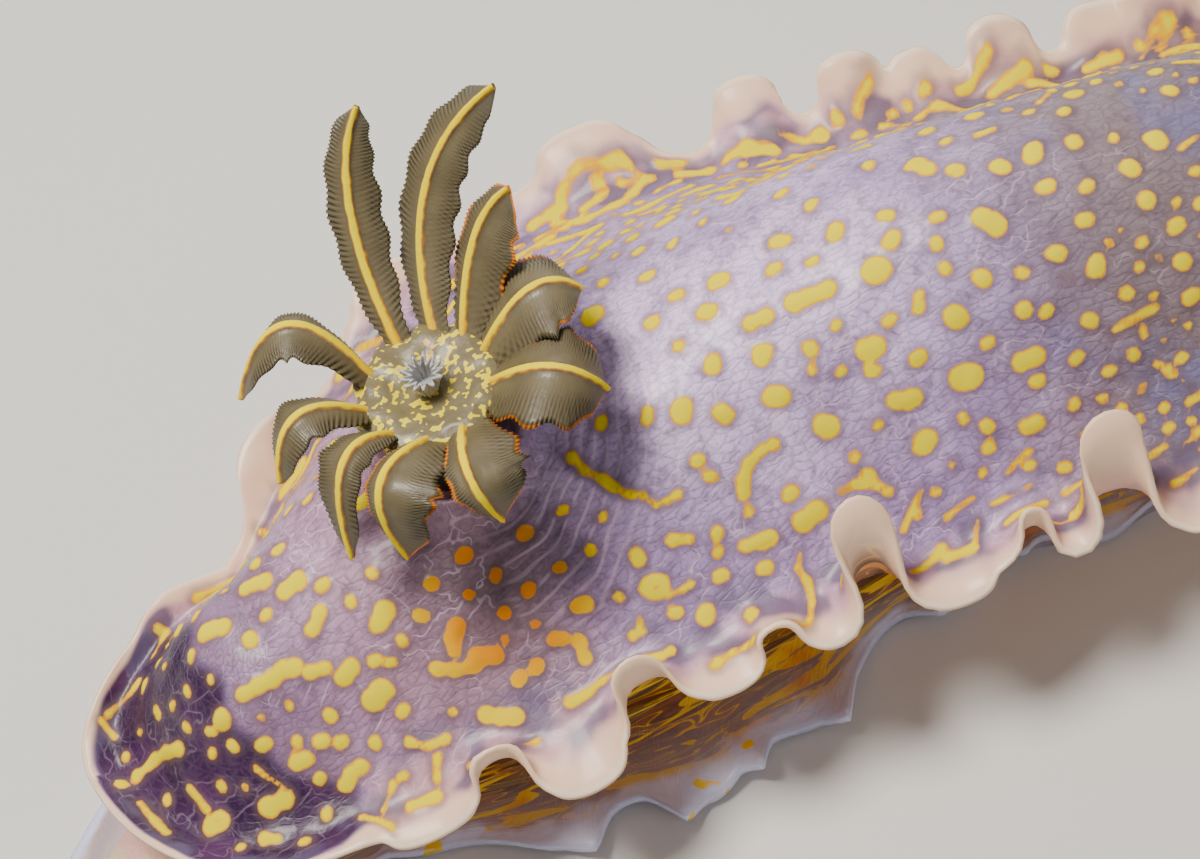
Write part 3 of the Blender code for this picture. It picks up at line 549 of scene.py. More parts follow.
@dataclass(frozen=True)
class SkinFinish:
    """Colours of mantle, flank and foot, as sRGB from 0 to 255, and their widths in mm."""

    lilac: Colour = (158, 130, 184)
    sky: Colour = (200, 172, 228)
    # Pale tint of the painted highlight on the wet middle of the back
    painted_highlight_colour: Colour = (240, 212, 255)
    # Grey and slate towards the front: partly the skin's own tone, partly painted shade where the light
    # falls off
    grey: Colour = (130, 114, 112)
    slate: Colour = (112, 110, 146)
    # Dark violet of the skin's own specks, also laid as painted shade in the small creases
    speck_and_crease_shade: Colour = (84, 66, 88)
    rose: Colour = (186, 140, 158)
    # Brown-grey of the painted shade beside the gill
    shade: Colour = (106, 84, 78)
    indigo: Colour = (46, 12, 58)
    dusk_light: Colour = (80, 36, 86)
    web: Colour = (226, 196, 220)
    pink: Colour = (224, 168, 164)
    cream: Colour = (252, 212, 178)
    edge: Colour = (255, 234, 208)
    # Grey-violet of the painted shade in the border's folds
    border_shade: Colour = (92, 78, 112)
    yellow: Colour = (236, 216, 0)
    amber: Colour = (228, 134, 0)
    halo: Colour = (104, 82, 80)
    olive: Colour = (132, 104, 56)
    brown: Colour = (150, 80, 8)
    dark: Colour = (70, 34, 6)
    streak: Colour = (250, 204, 0)
    foot: Colour = (214, 214, 244)
    foot_grey: Colour = (164, 146, 148)
    cream_width: float = 0.6
    pink_width: float = 3.8
    wrinkle: Row = (2.5, 1.25, 0.05)
    small_wrinkle: Row = (0.85, 0.4, 0.24)
    ring_pitch: float = 0.62
    streak_cells: tuple[Row, ...] = ((0.16, 1.7), (0.24, 3.2))

    def wrinkles(self, board: NodeBoard) -> tuple[bpy.types.NodeSocket, bpy.types.NodeSocket]:
        """Nets of lines, longer along the body than across.

        Args:
            board: The material's nodes.

        Returns:
            The wide net of pale lines and the small net of creases, which the colour darkens as painted
            shade.
        """
        sway = board.shaken(310, 1, 1.1)
        push = board.plus(sway, board.shaken(1100, 1, 1.1))
        nets = []
        for length, width, thick in (self.wrinkle, self.small_wrinkle):
            ahead = board.plus(board.maths("DIVIDE", board.attribute("along"), length), push)
            round_body = board.maths("DIVIDE", board.attribute("girth"), width)
            cell = board.plane(ahead, board.maths("SUBTRACT", round_body, push))
            nets.append(board.span(board.cracks(1.0, cell), 0.0, thick, 1.0, 0.0))
        net = board.times(nets[0], board.span(board.noise(330, 2), 0.36, 0.58))
        net = board.times(net, board.span(board.attribute("rings"), 0.0, 0.6, 1.0, 0.25))
        wave = board.times(board.plus(board.attribute("away"), sway), 2 * math.pi / self.ring_pitch)
        rings = board.times(board.span(board.maths("SINE", wave), 0.5, 1.0, 0.0, 0.7),
                            board.attribute("rings"))
        bare = board.span(board.attribute("spot"), 0.0, 0.3)
        return (board.times(board.maths("MAXIMUM", net, rings), bare),
                board.times(board.times(nets[1], bare),
                            board.span(board.attribute("rim"), 1.6, 4.5)))

    def back(self, board: NodeBoard, lines: bpy.types.NodeSocket,
             creases: bpy.types.NodeSocket) -> bpy.types.NodeSocket:
        """Colour of the mantle's back without its spots.

        Args:
            board: The material's nodes.
            lines: The net of pale lines.
            creases: The net of small creases, darkened in the colour as painted shade.

        Returns:
            The colour.
        """
        patches = board.span(board.noise(210, 3), 0.38, 0.62)
        colour = board.mix(patches, self.lilac, self.sky)
        # Painted highlight: a soft pale patch on the middle of the back, broken up by noise
        lit = board.times(board.attribute("lit"), board.span(board.noise(260, 2), 0.3, 0.55, 0.45, 1.0))
        colour = board.mix(lit, colour, self.painted_highlight_colour)
        # Greyer towards the front: partly own tone, partly painted shade for light falling off
        grey = board.mix(board.span(board.noise(150, 2), 0.48, 0.64), self.grey, self.slate)
        # The gill-shade mask lays painted shade over the back beside the gill
        for name, strength, tone in (("grey", 0.9, grey), ("rosy", 0.75, self.rose),
                                     ("warm", 0.75, self.shade)):
            colour = board.mix(board.times(board.attribute(name), strength), colour, tone)
        dusk = board.attribute("dusk")
        dark = board.mix(board.span(board.noise(240, 3), 0.45, 0.68), self.indigo, self.dusk_light)
        colour = board.mix(dusk, colour, dark)
        grain = board.span(board.noise(5200, 2, roughness=0.75), 0.46, 0.68)
        stain = board.span(board.noise(1000, 2, roughness=0.65), 0.5, 0.7)
        # Grain and stains are the skin's own specks; the crease net lays painted shade in the creases
        for mask, strength in ((grain, 0.3), (stain, 0.35), (creases, 0.26)):
            colour = board.mix(board.times(mask, strength), colour, self.speck_and_crease_shade)
        strength = board.times(board.span(dusk, 0.0, 0.7, 0.6, 0.14),
                               board.span(board.attribute("grey"), 0.1, 0.9, 1.0, 0.4))
        colour = board.mix(board.times(lines, strength), colour, self.web)
        rim = board.plus(board.attribute("rim"), board.shaken(320, 1, 3.0))
        pale = board.span(rim, self.cream_width, self.pink_width, 0.75, 0.0)
        pale = board.times(pale, board.span(dusk, 0.1, 0.7, 1.0, 0.0))
        colour = board.mix(pale, colour, self.pink)
        # Painted shade: grey-violet patches in the band inside the cream border, standing for shade in
        # its folds
        marks = board.span(board.noise(430, 1), 0.47, 0.62)
        band = board.times(board.span(rim, 0.7, 1.5), board.span(rim, 3.4, 4.8, 1.0, 0.0))
        colour = board.mix(board.times(board.times(marks, band), 0.8), colour, self.border_shade)
        light = board.span(rim, 0.4, self.cream_width + 0.9, 0.85, 0.0)
        colour = board.mix(light, colour, self.cream)
        return board.mix(board.span(board.attribute("rim"), 0.04, 0.22, 0.8, 0.0), colour, self.edge)

    def flank(self, board: NodeBoard) -> bpy.types.NodeSocket:
        """Colour of the flank and of the foot's upper face."""
        long, short = (board.plane(board.times(board.attribute("along"), length),
                                   board.times(board.attribute("level"), level))
                       for length, level in self.streak_cells)
        streaks = board.noise(1.0, 2, long, 0.5, 0.8)
        fine = board.noise(1.0, 1, short, 0.5, 1.0)
        dusky = board.noise(1.3, 3, long, 0.6, 0.3)
        low = board.span(board.attribute("level"), 3.8, 6.0)
        ground = board.mix(board.span(dusky, 0.36, 0.6), self.olive, self.brown)
        ground = board.mix(board.span(fine, 0.5, 0.62, 0.0, 0.75), ground, self.dark)
        ahead = board.plus(board.attribute("along"), board.shaken(90, 0, 50.0))
        ground = board.mix(board.span(ahead, 42.0, 60.0, 0.0, 0.75), ground, self.foot_grey)
        tail = board.times(board.span(board.attribute("along"), 2.0, 9.0, 0.9, 0.0),
                           board.span(board.attribute("level"), 3.6, 4.6))
        ground = board.mix(tail, ground, self.foot)
        ground = board.mix(board.times(low, 0.9), ground, self.foot_grey)
        yellow = board.mix(board.span(board.noise(300, 2), 0.46, 0.66), self.streak,
                           self.amber)
        off_line = board.maths("ABSOLUTE", board.maths("SUBTRACT", fine, 0.44))
        thin = board.span(off_line, 0.012, 0.03, 1.0, 0.0)
        wide = board.span(streaks, 0.53, 0.56)
        few = board.maths("SUBTRACT", board.span(board.attribute("level"), 4.2, 6.2, 1.0, 0.55),
                          board.times(tail, 0.45))
        both = board.maths("MAXIMUM", wide, board.times(thin, 0.8))
        colour = board.mix(board.times(both, few), ground, yellow)
        edge = board.plus(board.attribute("margin"), board.shaken(420, 2, 2.4))
        spots = board.span(board.noise(650, 1), 0.68, 0.72)
        pale = board.mix(spots, self.foot, self.streak)
        return board.mix(board.span(edge, 0.7, 1.7, 0.95, 0.0), colour, pale)

    def spotted(self, board: NodeBoard, back: bpy.types.NodeSocket,
                spot: bpy.types.NodeSocket) -> bpy.types.NodeSocket:
        """Back with its yellow spots, their dark halos and amber centres, the spots also turning amber
        in the painted shade beside the gill.

        Args:
            board: The material's nodes.
            back: Colour between the spots.
            spot: Distance in mm from the nearest spot's edge, negative inside.

        Returns:
            The colour.
        """
        back = board.mix(board.span(spot, 0.02, 0.42, 0.5, 0.0), back, self.halo)
        # Spots in the painted shade beside the gill are turned amber
        warm = board.span(board.attribute("warm"), 0.25, 0.9)
        core = board.times(board.span(spot, -0.6, -0.46, 0.6, 0.0),
                           board.span(board.noise(420, 1), 0.48, 0.54))
        rim = board.span(spot, -0.13, -0.02, 0.0, 0.75)
        yellow = board.mix(board.maths("MAXIMUM", board.maths("MAXIMUM", core, rim), warm),
                           self.yellow, self.amber)
        return board.mix(board.span(spot, -0.04, 0.04, 1.0, 0.0), back, yellow)

    def wobble(self, board: NodeBoard) -> bpy.types.NodeSocket:
        """Unevenness of the spots' outlines, in mm."""
        return board.plus(board.shaken(1500, 1, 0.16), board.shaken(620, 1, 0.42))

    def material(self) -> bpy.types.Material:
        """Makes the skin's material."""
        board = NodeBoard("slug_skin")
        lines, creases = self.wrinkles(board)
        spot = board.plus(board.attribute("spot"), self.wobble(board))
        back = self.spotted(board, self.back(board, lines, creases), spot)
        under = board.mix(board.span(board.attribute("rim"), 0.6, 3.0), self.cream,
                          self.pink)
        flank = self.flank(board)
        colour = board.mix(board.attribute("under"), back, under)
        colour = board.mix(board.attribute("flank"), colour, flank)
        colour = board.mix(board.attribute("sole"), colour, self.foot)
        board.bump(board.times(creases, -1.0), 0.00003, 0.5)
        gloss = board.maths("MAXIMUM", board.span(spot, -0.1, 0.05, 0.0, 1.0), board.attribute("flank"))
        return board.finish(colour, 0.46, 0.16, gloss)


@dataclass(frozen=True)
class GillFinish:
    """Colours of the gill leaves and the disc, as sRGB from 0 to 255."""

    olive: Colour = (90, 80, 56)
    # Near-black painted shade in the grooves between the lamellae
    groove_shade: Colour = (30, 25, 15)
    ridge: Colour = (110, 99, 72)
    tip: Colour = (92, 91, 82)
    disc_ground: Colour = (122, 112, 76)
    yellow: Colour = (240, 216, 0)
    amber: Colour = (232, 130, 0)

    def leaf(self) -> bpy.types.Material:
        """Makes the material of the leaves."""
        board = NodeBoard("gill_leaf")
        # Painted shade: the grooves between the lamellae darken towards near black
        colour = board.mix(board.span(board.attribute("comb"), 0.0, 0.9), self.groove_shade, self.ridge)
        colour = board.mix(board.span(board.noise(600, 3), 0.35, 0.65, 0.15, 0.7), colour, self.olive)
        run = board.attribute("run")
        colour = board.mix(board.span(run, 0.8, 1.0, 0.0, 0.6), colour, self.tip)
        wobble = board.shaken(1500, 2, 0.18)
        yellow = board.mix(board.span(run, 0.0, 0.2, 0.3, 0.0), self.yellow, self.amber)
        line = board.plus(board.attribute("line"), wobble)
        colour = board.mix(board.span(line, 0.24, 0.28, 0.45, 0.0), colour, self.amber)
        colour = board.mix(board.span(line, 0.17, 0.24, 1.0, 0.0), colour, yellow)
        hem = board.plus(board.attribute("hem"), wobble)
        broken = board.span(board.noise(520, 2), 0.4, 0.52)
        colour = board.mix(board.times(broken, board.span(hem, 0.08, 0.2, 0.9, 0.0)), colour,
                           self.amber)
        board.bump(board.noise(3200, 2), 0.00005, 0.5)
        return board.finish(colour, 0.5, 0.14, board.span(line, 0.17, 0.28))

    def disc(self) -> bpy.types.Material:
        """Makes the material of the disc and its stalk."""
        board = NodeBoard("gill_disc")
        ground = board.mix(board.span(board.noise(900, 3), 0.35, 0.65), self.disc_ground, self.ridge)
        blotch = board.span(board.noise(2600, 1, distortion=0.2), 0.56, 0.58)
        yellow = board.mix(board.span(board.noise(500, 1), 0.62, 0.78), self.yellow, self.amber)
        colour = board.mix(board.times(blotch, board.attribute("top")), ground, yellow)
        board.bump(board.noise(1800, 3), 0.0001, 0.7)
        return board.finish(colour, 0.45, 0.12)


@dataclass(frozen=True)
class PlainFinish:
    """A moist finish of two mottled colours, as sRGB from 0 to 255."""

    name: str
    first: Colour
    second: Colour
    line: Colour | None = None

    def material(self) -> bpy.types.Material:
        """Makes the material; a line colour is laid where the piece's line attribute is small."""
        board = NodeBoard(self.name)
        colour = board.mix(board.span(board.noise(1300, 3), 0.35, 0.65), self.first, self.second)
        if self.line:
            colour = board.mix(board.span(board.attribute("line"), 0.16, 0.22, 1.0, 0.0), colour,
                               self.line)
        board.bump(board.noise(2600, 3), 0.00006, 0.6)
        return board.finish(colour, 0.4, 0.35, depth=0.0006)


@dataclass
class Loft:
    """Closed mesh laid over rings of points."""

    name: str
    points: np.ndarray
    layers: dict[str, np.ndarray] = field(default_factory=dict)

    def build(self, material: bpy.types.Material) -> bpy.types.Object:
        """Makes the object.

        Args:
            material: The finish of the whole piece.

        Returns:
            The linked object, its open ends closed and its faces outward.
        """
        count, around = self.points.shape[:2]
        bm = bmesh.new()
        bmesh.ops.create_grid(bm, x_segments=around, y_segments=count - 1, size=1.0)
        mesh = bpy.data.meshes.new(self.name)
        bm.to_mesh(mesh)
        bm.free()
        flat = np.empty(len(mesh.vertices) * 3, dtype=np.float32)
        mesh.vertices.foreach_get("co", flat)
        flat = flat.reshape(-1, 3)
        i = np.rint((flat[:, 0] + 1) / 2 * around).astype(int) % around
        j = np.rint((flat[:, 1] + 1) / 2 * (count - 1)).astype(int)
        pick = j * around + i
        mesh.vertices.foreach_set("co", self.points.reshape(-1, 3)[pick].astype(np.float32).ravel())
        for name, layer in self.layers.items():
            values = mesh.attributes.new(name, "FLOAT", "POINT")
            values.data.foreach_set("value", layer.reshape(-1)[pick].astype(np.float32))
        self.close(mesh)
        mesh.shade_smooth()
        mesh.materials.append(material)
        return link(self.name, mesh)

    def close(self, mesh: bpy.types.Mesh) -> None:
        """Merges the seam and the poles, fills open ends and turns the faces outward."""
        bm = bmesh.new()
        bm.from_mesh(mesh)
        bmesh.ops.remove_doubles(bm, verts=bm.verts, dist=MERGE)
        rim = [edge for edge in bm.edges if edge.is_boundary]
        if rim:
            filled = bmesh.ops.holes_fill(bm, edges=rim, sides=0)
            bmesh.ops.triangulate(bm, faces=filled["faces"])
        bmesh.ops.recalc_face_normals(bm, faces=bm.faces)
        if bm.calc_volume(signed=True) < 0:
            bmesh.ops.reverse_faces(bm, faces=bm.faces)
        bm.to_mesh(mesh)
        bm.free()


def grid_normals(points: np.ndarray, flip: float) -> np.ndarray:
    """Unit normals of a sheet of points that closes on itself across.

    Args:
        points: Sections of points, rings down the second axis.
        flip: 1 or -1, whichever makes them point outwards.

    Returns:
        Normals in the points' shape, zero where the sheet shrinks to a pole.
    """
    down = np.gradient(points, axis=0)
    padded = np.concatenate([points[:, -1:], points, points[:, :1]], 1)
    over = (padded[:, 2:] - padded[:, :-2]) * 0.5
    normal = np.cross(down, over) * flip
    size = np.linalg.norm(normal, axis=-1, keepdims=True)
    return np.where(size > 1e-9, normal / np.maximum(size, 1e-9), 0.0)


def rumple(points: np.ndarray, cell: float, seed: float) -> np.ndarray:
    """Smooth noise from -1 to 1 at points in mm, with cells of the given size."""
    flat = points.reshape(-1, 3) / cell + seed
    values = [noise.noise(Vector(row)) for row in flat]
    return np.array(values).reshape(points.shape[:-1])


@dataclass
class Markings:
    """Yellow spots, beads and dashes of the back, as chains of round blobs.

    Each row of placed is a radius and then s and y of each stop, in mm.
    """

    plan: BodyPlan
    tries: int = 16000
    centres: list[np.ndarray] = field(default_factory=list)
    radii: list[float] = field(default_factory=list)
    stretches: list[Row] = field(default_factory=list)
    placed: tuple[Row, ...] = (
        (0.22, 31.0, 14.6, 31.8, 15.9, 33.5, 16.3, 35.2, 15.9, 36.0, 14.8, 34.6, 13.9, 32.4, 13.8, 31.0,
         14.6), (0.3, -0.7, -1.0), (0.25, 0.2, 0.3), (0.39, 0.3, -1.1, 1.3, -1.3, 2.2, -1.9, 2.9, -2.6),
        (0.34, 1.0, -3.5), (0.3, 1.5, 0.4), (0.54, 2.4, -6.4, 2.8, -6.5), (0.39, 2.8, 2.1),
        (0.39, 2.8, -0.1), (0.34, 3.7, -1.0), (0.34, 4.0, 2.1), (0.34, 4.3, 0.8), (0.39, 4.3, -4.3),
        (0.3, 4.4, -8.7, 4.9, -9.1), (0.39, 4.7, -1.5), (0.25, 4.7, -3.6, 4.9, -3.8), (0.39, 5.3, -4.9),
        (0.54, 5.4, -7.7, 6.2, -7.9), (0.59, 5.6, -3.8), (0.39, 5.8, -0.6), (0.34, 6.1, -2.2),
        (0.39, 6.7, -5.8), (0.44, 7.2, -3.8, 7.9, -3.9, 8.7, -4.0, 9.4, -4.0, 9.9, -4.2),
        (0.44, 7.4, -0.4, 7.0, -0.3, 7.8, -0.6), (0.44, 7.7, -7.1, 8.1, -7.2), (0.34, 7.7, -9.5),
        (0.54, 7.8, 2.7, 8.1, 2.9), (0.34, 8.2, -6.5), (0.34, 8.2, -8.1), (0.44, 8.7, -1.9),
        (0.44, 9.2, -7.0), (0.39, 9.2, -8.9, 9.7, -8.7, 10.3, -8.7), (0.44, 9.9, -1.4),
        (0.39, 10.1, 0.3, 9.6, 0.5, 10.6, 0.1), (0.39, 10.1, -7.5), (0.39, 10.2, -6.5),
        (0.39, 10.5, -4.8, 11.2, -5.0), (0.39, 10.6, 1.4), (0.49, 11.3, -1.1, 12.0, -1.1),
        (0.39, 11.5, -8.4), (0.39, 11.6, -3.5, 12.2, -3.1), (0.49, 11.8, -5.7, 12.2, -5.6),
        (0.54, 12.5, -7.1, 13.1, -7.0), (0.39, 13.0, -2.1), (0.3, 13.0, -9.2, 13.8, -9.8, 14.7, -10.0),
        (0.34, 13.5, -6.0), (0.39, 13.5, -8.1), (0.39, 13.8, -3.5), (0.3, 13.9, -10.4, 13.4, -11.1),
        (0.34, 14.1, -6.4), (0.54, 14.6, -4.9, 15.0, -4.7), (0.39, 15.1, -6.0), (0.39, 15.4, -3.1),
        (0.39, 16.0, -7.6, 16.7, -8.0, 17.6, -8.2, 17.9, -8.0, 18.8, -8.4),
        (0.44, 17.0, -10.1, 17.6, -10.5, 18.2, -10.8), (0.39, 17.8, -6.7, 17.3, -7.0, 17.1, -7.4),
        (0.44, 19.3, -9.6), (0.34, 19.6, -8.1), (0.39, 20.1, -7.3), (0.39, 20.3, -9.6),
        (0.25, 21.0, -11.5, 22.1, -11.6, 23.1, -11.5, 23.9, -11.5, 25.0, -11.6, 26.0, -11.9, 26.7,
         -11.8), (0.34, 21.2, -8.2), (0.34, 21.7, -9.0, 22.1, -9.2), (0.44, 22.7, -10.2),
        (0.49, 22.8, -9.6), (0.39, 23.5, -8.4, 23.8, -8.5),
        (0.25, 25.9, -10.0, 25.7, -10.4, 25.3, -10.4),
        (0.25, 26.3, -3.4, 26.6, -4.2, 27.1, -4.8, 27.5, -5.4, 28.0, -5.9, 28.6, -6.2, 29.0, -6.7, 29.5,
         -6.8, 30.1, -6.8), (0.54, 27.1, -8.0), (0.64, 27.3, -9.2, 27.5, -9.2),
        (0.25, 27.7, -9.7, 28.4, -9.8, 29.0, -9.7), (0.39, 27.7, -10.4),
        (0.25, 28.5, -13.1, 29.3, -13.1, 30.1, -13.3, 30.7, -13.6), (0.54, 29.0, -11.1),
        (0.34, 29.1, -8.1, 29.8, -8.3), (0.44, 30.5, -10.0), (0.34, 30.5, -3.5, 30.3, -3.8),
        (0.39, 30.8, -9.2), (0.39, 31.1, -8.6), (0.44, 31.1, -12.1), (0.39, 31.7, -6.1),
        (0.39, 31.9, -6.8), (0.69, 31.9, -4.2), (0.39, 32.2, -9.5, 32.9, -9.6, 33.4, -9.6),
        (0.44, 32.5, 0.4), (0.44, 32.6, -10.5), (0.34, 33.0, -8.5),
        (0.34, 33.1, -7.9, 33.4, -7.4, 33.9, -7.0, 34.7, -6.9, 35.3, -6.9), (0.39, 33.1, -1.6),
        (0.59, 33.7, -5.1), (0.44, 34.0, 1.0), (0.54, 34.2, -3.1),
        (0.2, 34.5, -10.7, 34.1, -11.1, 34.3, -11.7, 34.1, -12.6, 33.4, -13.7, 32.6, -14.5),
        (0.54, 35.0, -0.7), (0.39, 35.1, 4.6), (0.49, 35.2, -8.6), (0.54, 35.3, -9.6, 36.1, -9.5),
        (0.49, 35.4, 7.4), (0.59, 36.1, 0.5), (0.64, 36.3, -5.5), (0.59, 36.4, -3.9),
        (0.49, 36.6, -2.4, 37.2, -2.5), (0.39, 36.8, 4.7),
        (0.25, 37.4, -9.3, 38.3, -9.3, 39.2, -9.6, 39.7, -10.0), (0.69, 38.0, -7.2), (0.39, 38.3, -5.3),
        (0.44, 38.6, -0.5), (0.49, 38.6, -4.6), (0.39, 38.8, -8.5),
        (0.44, 38.8, -2.6, 39.4, -2.7, 40.4, -2.8), (0.39, 39.1, -9.2), (0.54, 39.4, 0.7),
        (0.39, 39.6, -5.8), (0.34, 40.1, -4.3), (0.39, 40.3, -1.2), (0.39, 40.3, -7.9),
        (0.39, 40.9, -6.3), (0.64, 41.2, -5.6), (0.49, 41.8, -0.4),
        (0.49, 42.0, -7.6, 41.5, -7.5, 42.3, -7.6), (0.54, 42.2, -9.0, 42.0, -9.1), (0.39, 42.5, -5.0),
        (0.64, 42.7, -3.0, 42.8, -3.0), (0.49, 43.2, -6.5), (0.54, 44.0, -2.0), (0.44, 44.2, -0.7),
        (0.34, 44.2, -4.6, 44.0, -5.0), (0.39, 44.3, -8.8), (0.39, 45.0, -10.0),
        (0.64, 45.1, -7.7, 44.8, -7.7), (0.44, 45.2, -9.3), (0.54, 45.5, -5.8, 45.4, -5.7),
        (0.39, 45.7, -4.1), (0.39, 45.8, -3.0), (0.44, 46.3, -1.9), (0.39, 46.5, -7.0),
        (0.49, 46.5, 1.4, 46.8, 0.9), (0.39, 47.1, -9.8, 47.6, -9.8), (0.49, 47.2, -5.0),
        (0.44, 48.0, 0.2), (0.49, 48.2, -7.9, 47.8, -7.9, 48.5, -7.9), (0.39, 48.2, -8.6),
        (0.49, 48.5, -3.0, 48.2, -2.7, 48.7, -3.3), (0.44, 48.6, -6.4), (0.39, 49.6, -6.7),
        (0.39, 49.6, -9.7), (0.54, 49.9, -0.5), (0.49, 51.4, -7.4), (0.59, 51.5, -0.4),
        (0.49, 51.5, -2.3), (0.44, 52.5, -5.7, 52.3, -6.0), (0.44, 52.6, -4.2), (0.44, 53.0, -8.8),
        (0.39, 53.0, -9.9), (0.44, 53.2, -2.9), (0.44, 53.5, -0.5), (0.49, 54.6, 2.7),
        (0.49, 55.4, -2.6), (0.49, 55.6, -4.1), (0.49, 56.4, -6.5), (0.49, 56.4, -7.6),
        (0.44, 56.6, -5.3), (0.59, 57.0, -1.6))

    def on_back(self, s: float, y: float) -> np.ndarray:
        """Point of the smooth back over station s and offset y."""
        plan = self.plan
        side = 1.0 if y >= 0 else -1.0
        width = float(plan.by_side(side, plan.left_rim, plan.right_rim, s))
        ahead, across = max(0.0, plan.s_rear - s) / plan.rear_reach, abs(y) / width
        turn = math.atan2(ahead, across) / (math.pi / 2)
        p = s if s >= plan.s_rear else plan.s_rear - turn * (plan.s_rear - plan.p_rear)
        return plan.mantle_top(p, side, min(0.97, math.hypot(ahead, across)), frilled=False)

    def chain(self, radius: float, stops: list[np.ndarray], swell: float = 0.12) -> None:
        """Adds a blob, or a dash of overlapping blobs through several stops.

        Args:
            radius: Radius in mm.
            stops: Points on the back.
            swell: How much thicker the dash is at its ends and beads.
        """
        far = float(ease((stops[0][1] - 4.0) / 5.0))
        stretch = (1.1 + 0.1 * far, 1.0 + 0.45 * far, 1.0 + 0.3 * far)
        if len(stops) == 1:
            turn = 12.9898 * float(stops[0][0]) + 4.1414 * float(stops[0][1])
            drift = np.array([math.cos(turn), math.sin(turn), 0.0]) * radius * 0.25
            for sign in (-1, 1):
                self.blob(stops[0] + sign * drift, radius * 0.88, stretch)
            return
        for here, there in zip(stops, stops[1:]):
            steps = max(2, math.ceil(float(np.linalg.norm(there - here)) / (radius * 0.45)))
            for k in range(steps + 1):
                t = k / steps
                thick = radius * (1 - swell + 2 * swell * abs(2 * t - 1))
                self.blob(here + (there - here) * t, thick, stretch)

    def blob(self, centre: np.ndarray, radius: float, stretch: Row) -> None:
        """Adds one blob, stretched along the body, across it and upwards."""
        self.centres.append(centre)
        self.radii.append(radius)
        self.stretches.append(stretch)

    def wanted(self, s: float, r: float, side: Side) -> tuple[float, float]:
        """Clear space between spots at a place on the back and their mean radius, in mm."""
        if s < 12:
            return 0.9, 0.36
        if s < 27:
            return (1.7, 0.42) if r < 0.35 else (1.05, 0.38)
        crowd = ease((s - 44) / 10)
        if side is Side.LEFT:
            far = float(ease((r - 0.28) / 0.25))
            return 1.5 - 1.05 * max(crowd, far), 0.46 - 0.15 * crowd * (1 - far) - 0.1 * far
        crowd = max(crowd, 0.8 * ease((r - 0.5) / 0.25) * ease((s - 33) / 5))
        return 1.55 - 1.08 * crowd, 0.46 - 0.17 * crowd

    def place_all(self) -> None:
        """Lays the placed marks, the lines along the ruffles and then the scattered spots."""
        for row in self.placed:
            stops = [self.on_back(s, y) for s, y in zip(row[1::2], row[2::2])]
            self.chain(row[0] * 0.93, stops)
        self.ruffle_lines()
        self.scatter()

    def ruffle_lines(self) -> None:
        """Lays a broken line round the inner foot of each raised ruffle."""
        chance = random.Random(SEED + 5)
        for side in Side:
            for centre, half, lift, _, _, _ in self.plan.ruffles(side):
                if lift < 0.8 or (side is Side.RIGHT and centre < 58):
                    continue
                reach = chance.uniform(0.8, 0.84) - 0.06 * (side is Side.LEFT)
                t = np.arange(-0.9, 0.95, 0.1)
                bow = reach - 0.07 * np.cos(math.pi / 2 * t)
                line = self.plan.mantle_top(centre + half * t, side.value, bow, frilled=False)
                stops = [point for point in line]
                cut = chance.randrange(5, len(stops) - 4)
                self.chain(chance.uniform(0.17, 0.22), stops[:cut])
                self.chain(chance.uniform(0.18, 0.25), stops[cut + 2:])

    def scatter(self) -> None:
        """Scatters the small spots, each clear of the ones before it."""
        chance = random.Random(SEED)
        plan = self.plan
        gill = plan.gill
        draws = [(chance.uniform(plan.p_rear, plan.p_front), chance.choice((Side.RIGHT, Side.LEFT)),
                  math.sqrt(chance.random()) * 0.91) for _ in range(self.tries)]
        sides = np.array([draw[1].value for draw in draws])
        where = plan.mantle_top(np.array([draw[0] for draw in draws]), sides,
                                np.array([draw[2] for draw in draws]), frilled=False)
        taken = np.zeros((4 * self.tries, 4))
        count = len(self.radii)
        taken[:count, :3] = self.centres
        taken[:count, 3] = self.radii
        for (p, side, r), place in zip(draws, where):
            clear, mean = self.wanted(float(place[0]), r, side)
            radius = mean * chance.uniform(0.6, 1.3)
            if math.hypot(place[0] - gill[0], place[1] - gill[1]) < 4.9:
                continue
            away = np.linalg.norm(taken[:count, :3] - place, axis=1) - taken[:count, 3] - radius
            if away.min() < clear * (0.75 if radius < mean else 1.0):
                continue
            stops = [place]
            if chance.random() < 0.14 + 0.55 * ease((r - 0.62) / 0.2):
                length = chance.uniform(0.6, 2.3)
                turn = chance.gauss(0.0, 0.45)
                radius *= 0.66
                width = float(plan.by_side(side.value, plan.left_rim, plan.right_rim, p))
                reach = min(0.95, r + length * math.sin(turn) / width)
                stops.append(plan.mantle_top(p + length * math.cos(turn), side.value, reach,
                                             frilled=False))
            self.chain(radius, stops)
            new = len(self.radii)
            taken[count:new, :3] = self.centres[count:]
            taken[count:new, 3] = self.radii[count:]
            count = new

    def field(self, points: np.ndarray) -> np.ndarray:
        """Signed distance in mm from each point to the nearest blob's edge, at most 2."""
        flat = points.reshape(-1, 3)
        order = np.argsort(flat[:, 0])
        line = flat[order, 0]
        best = np.full(len(flat), 2.0)
        for centre, radius, stretch in zip(self.centres, self.radii, self.stretches):
            low, high = np.searchsorted(line, (centre[0] - 2.0, centre[0] + 2.0))
            near = order[low:high]
            away = np.linalg.norm((flat[near] - centre) / stretch, axis=1) - radius
            best[near] = np.minimum(best[near], away)
        return best.reshape(points.shape[:-1])


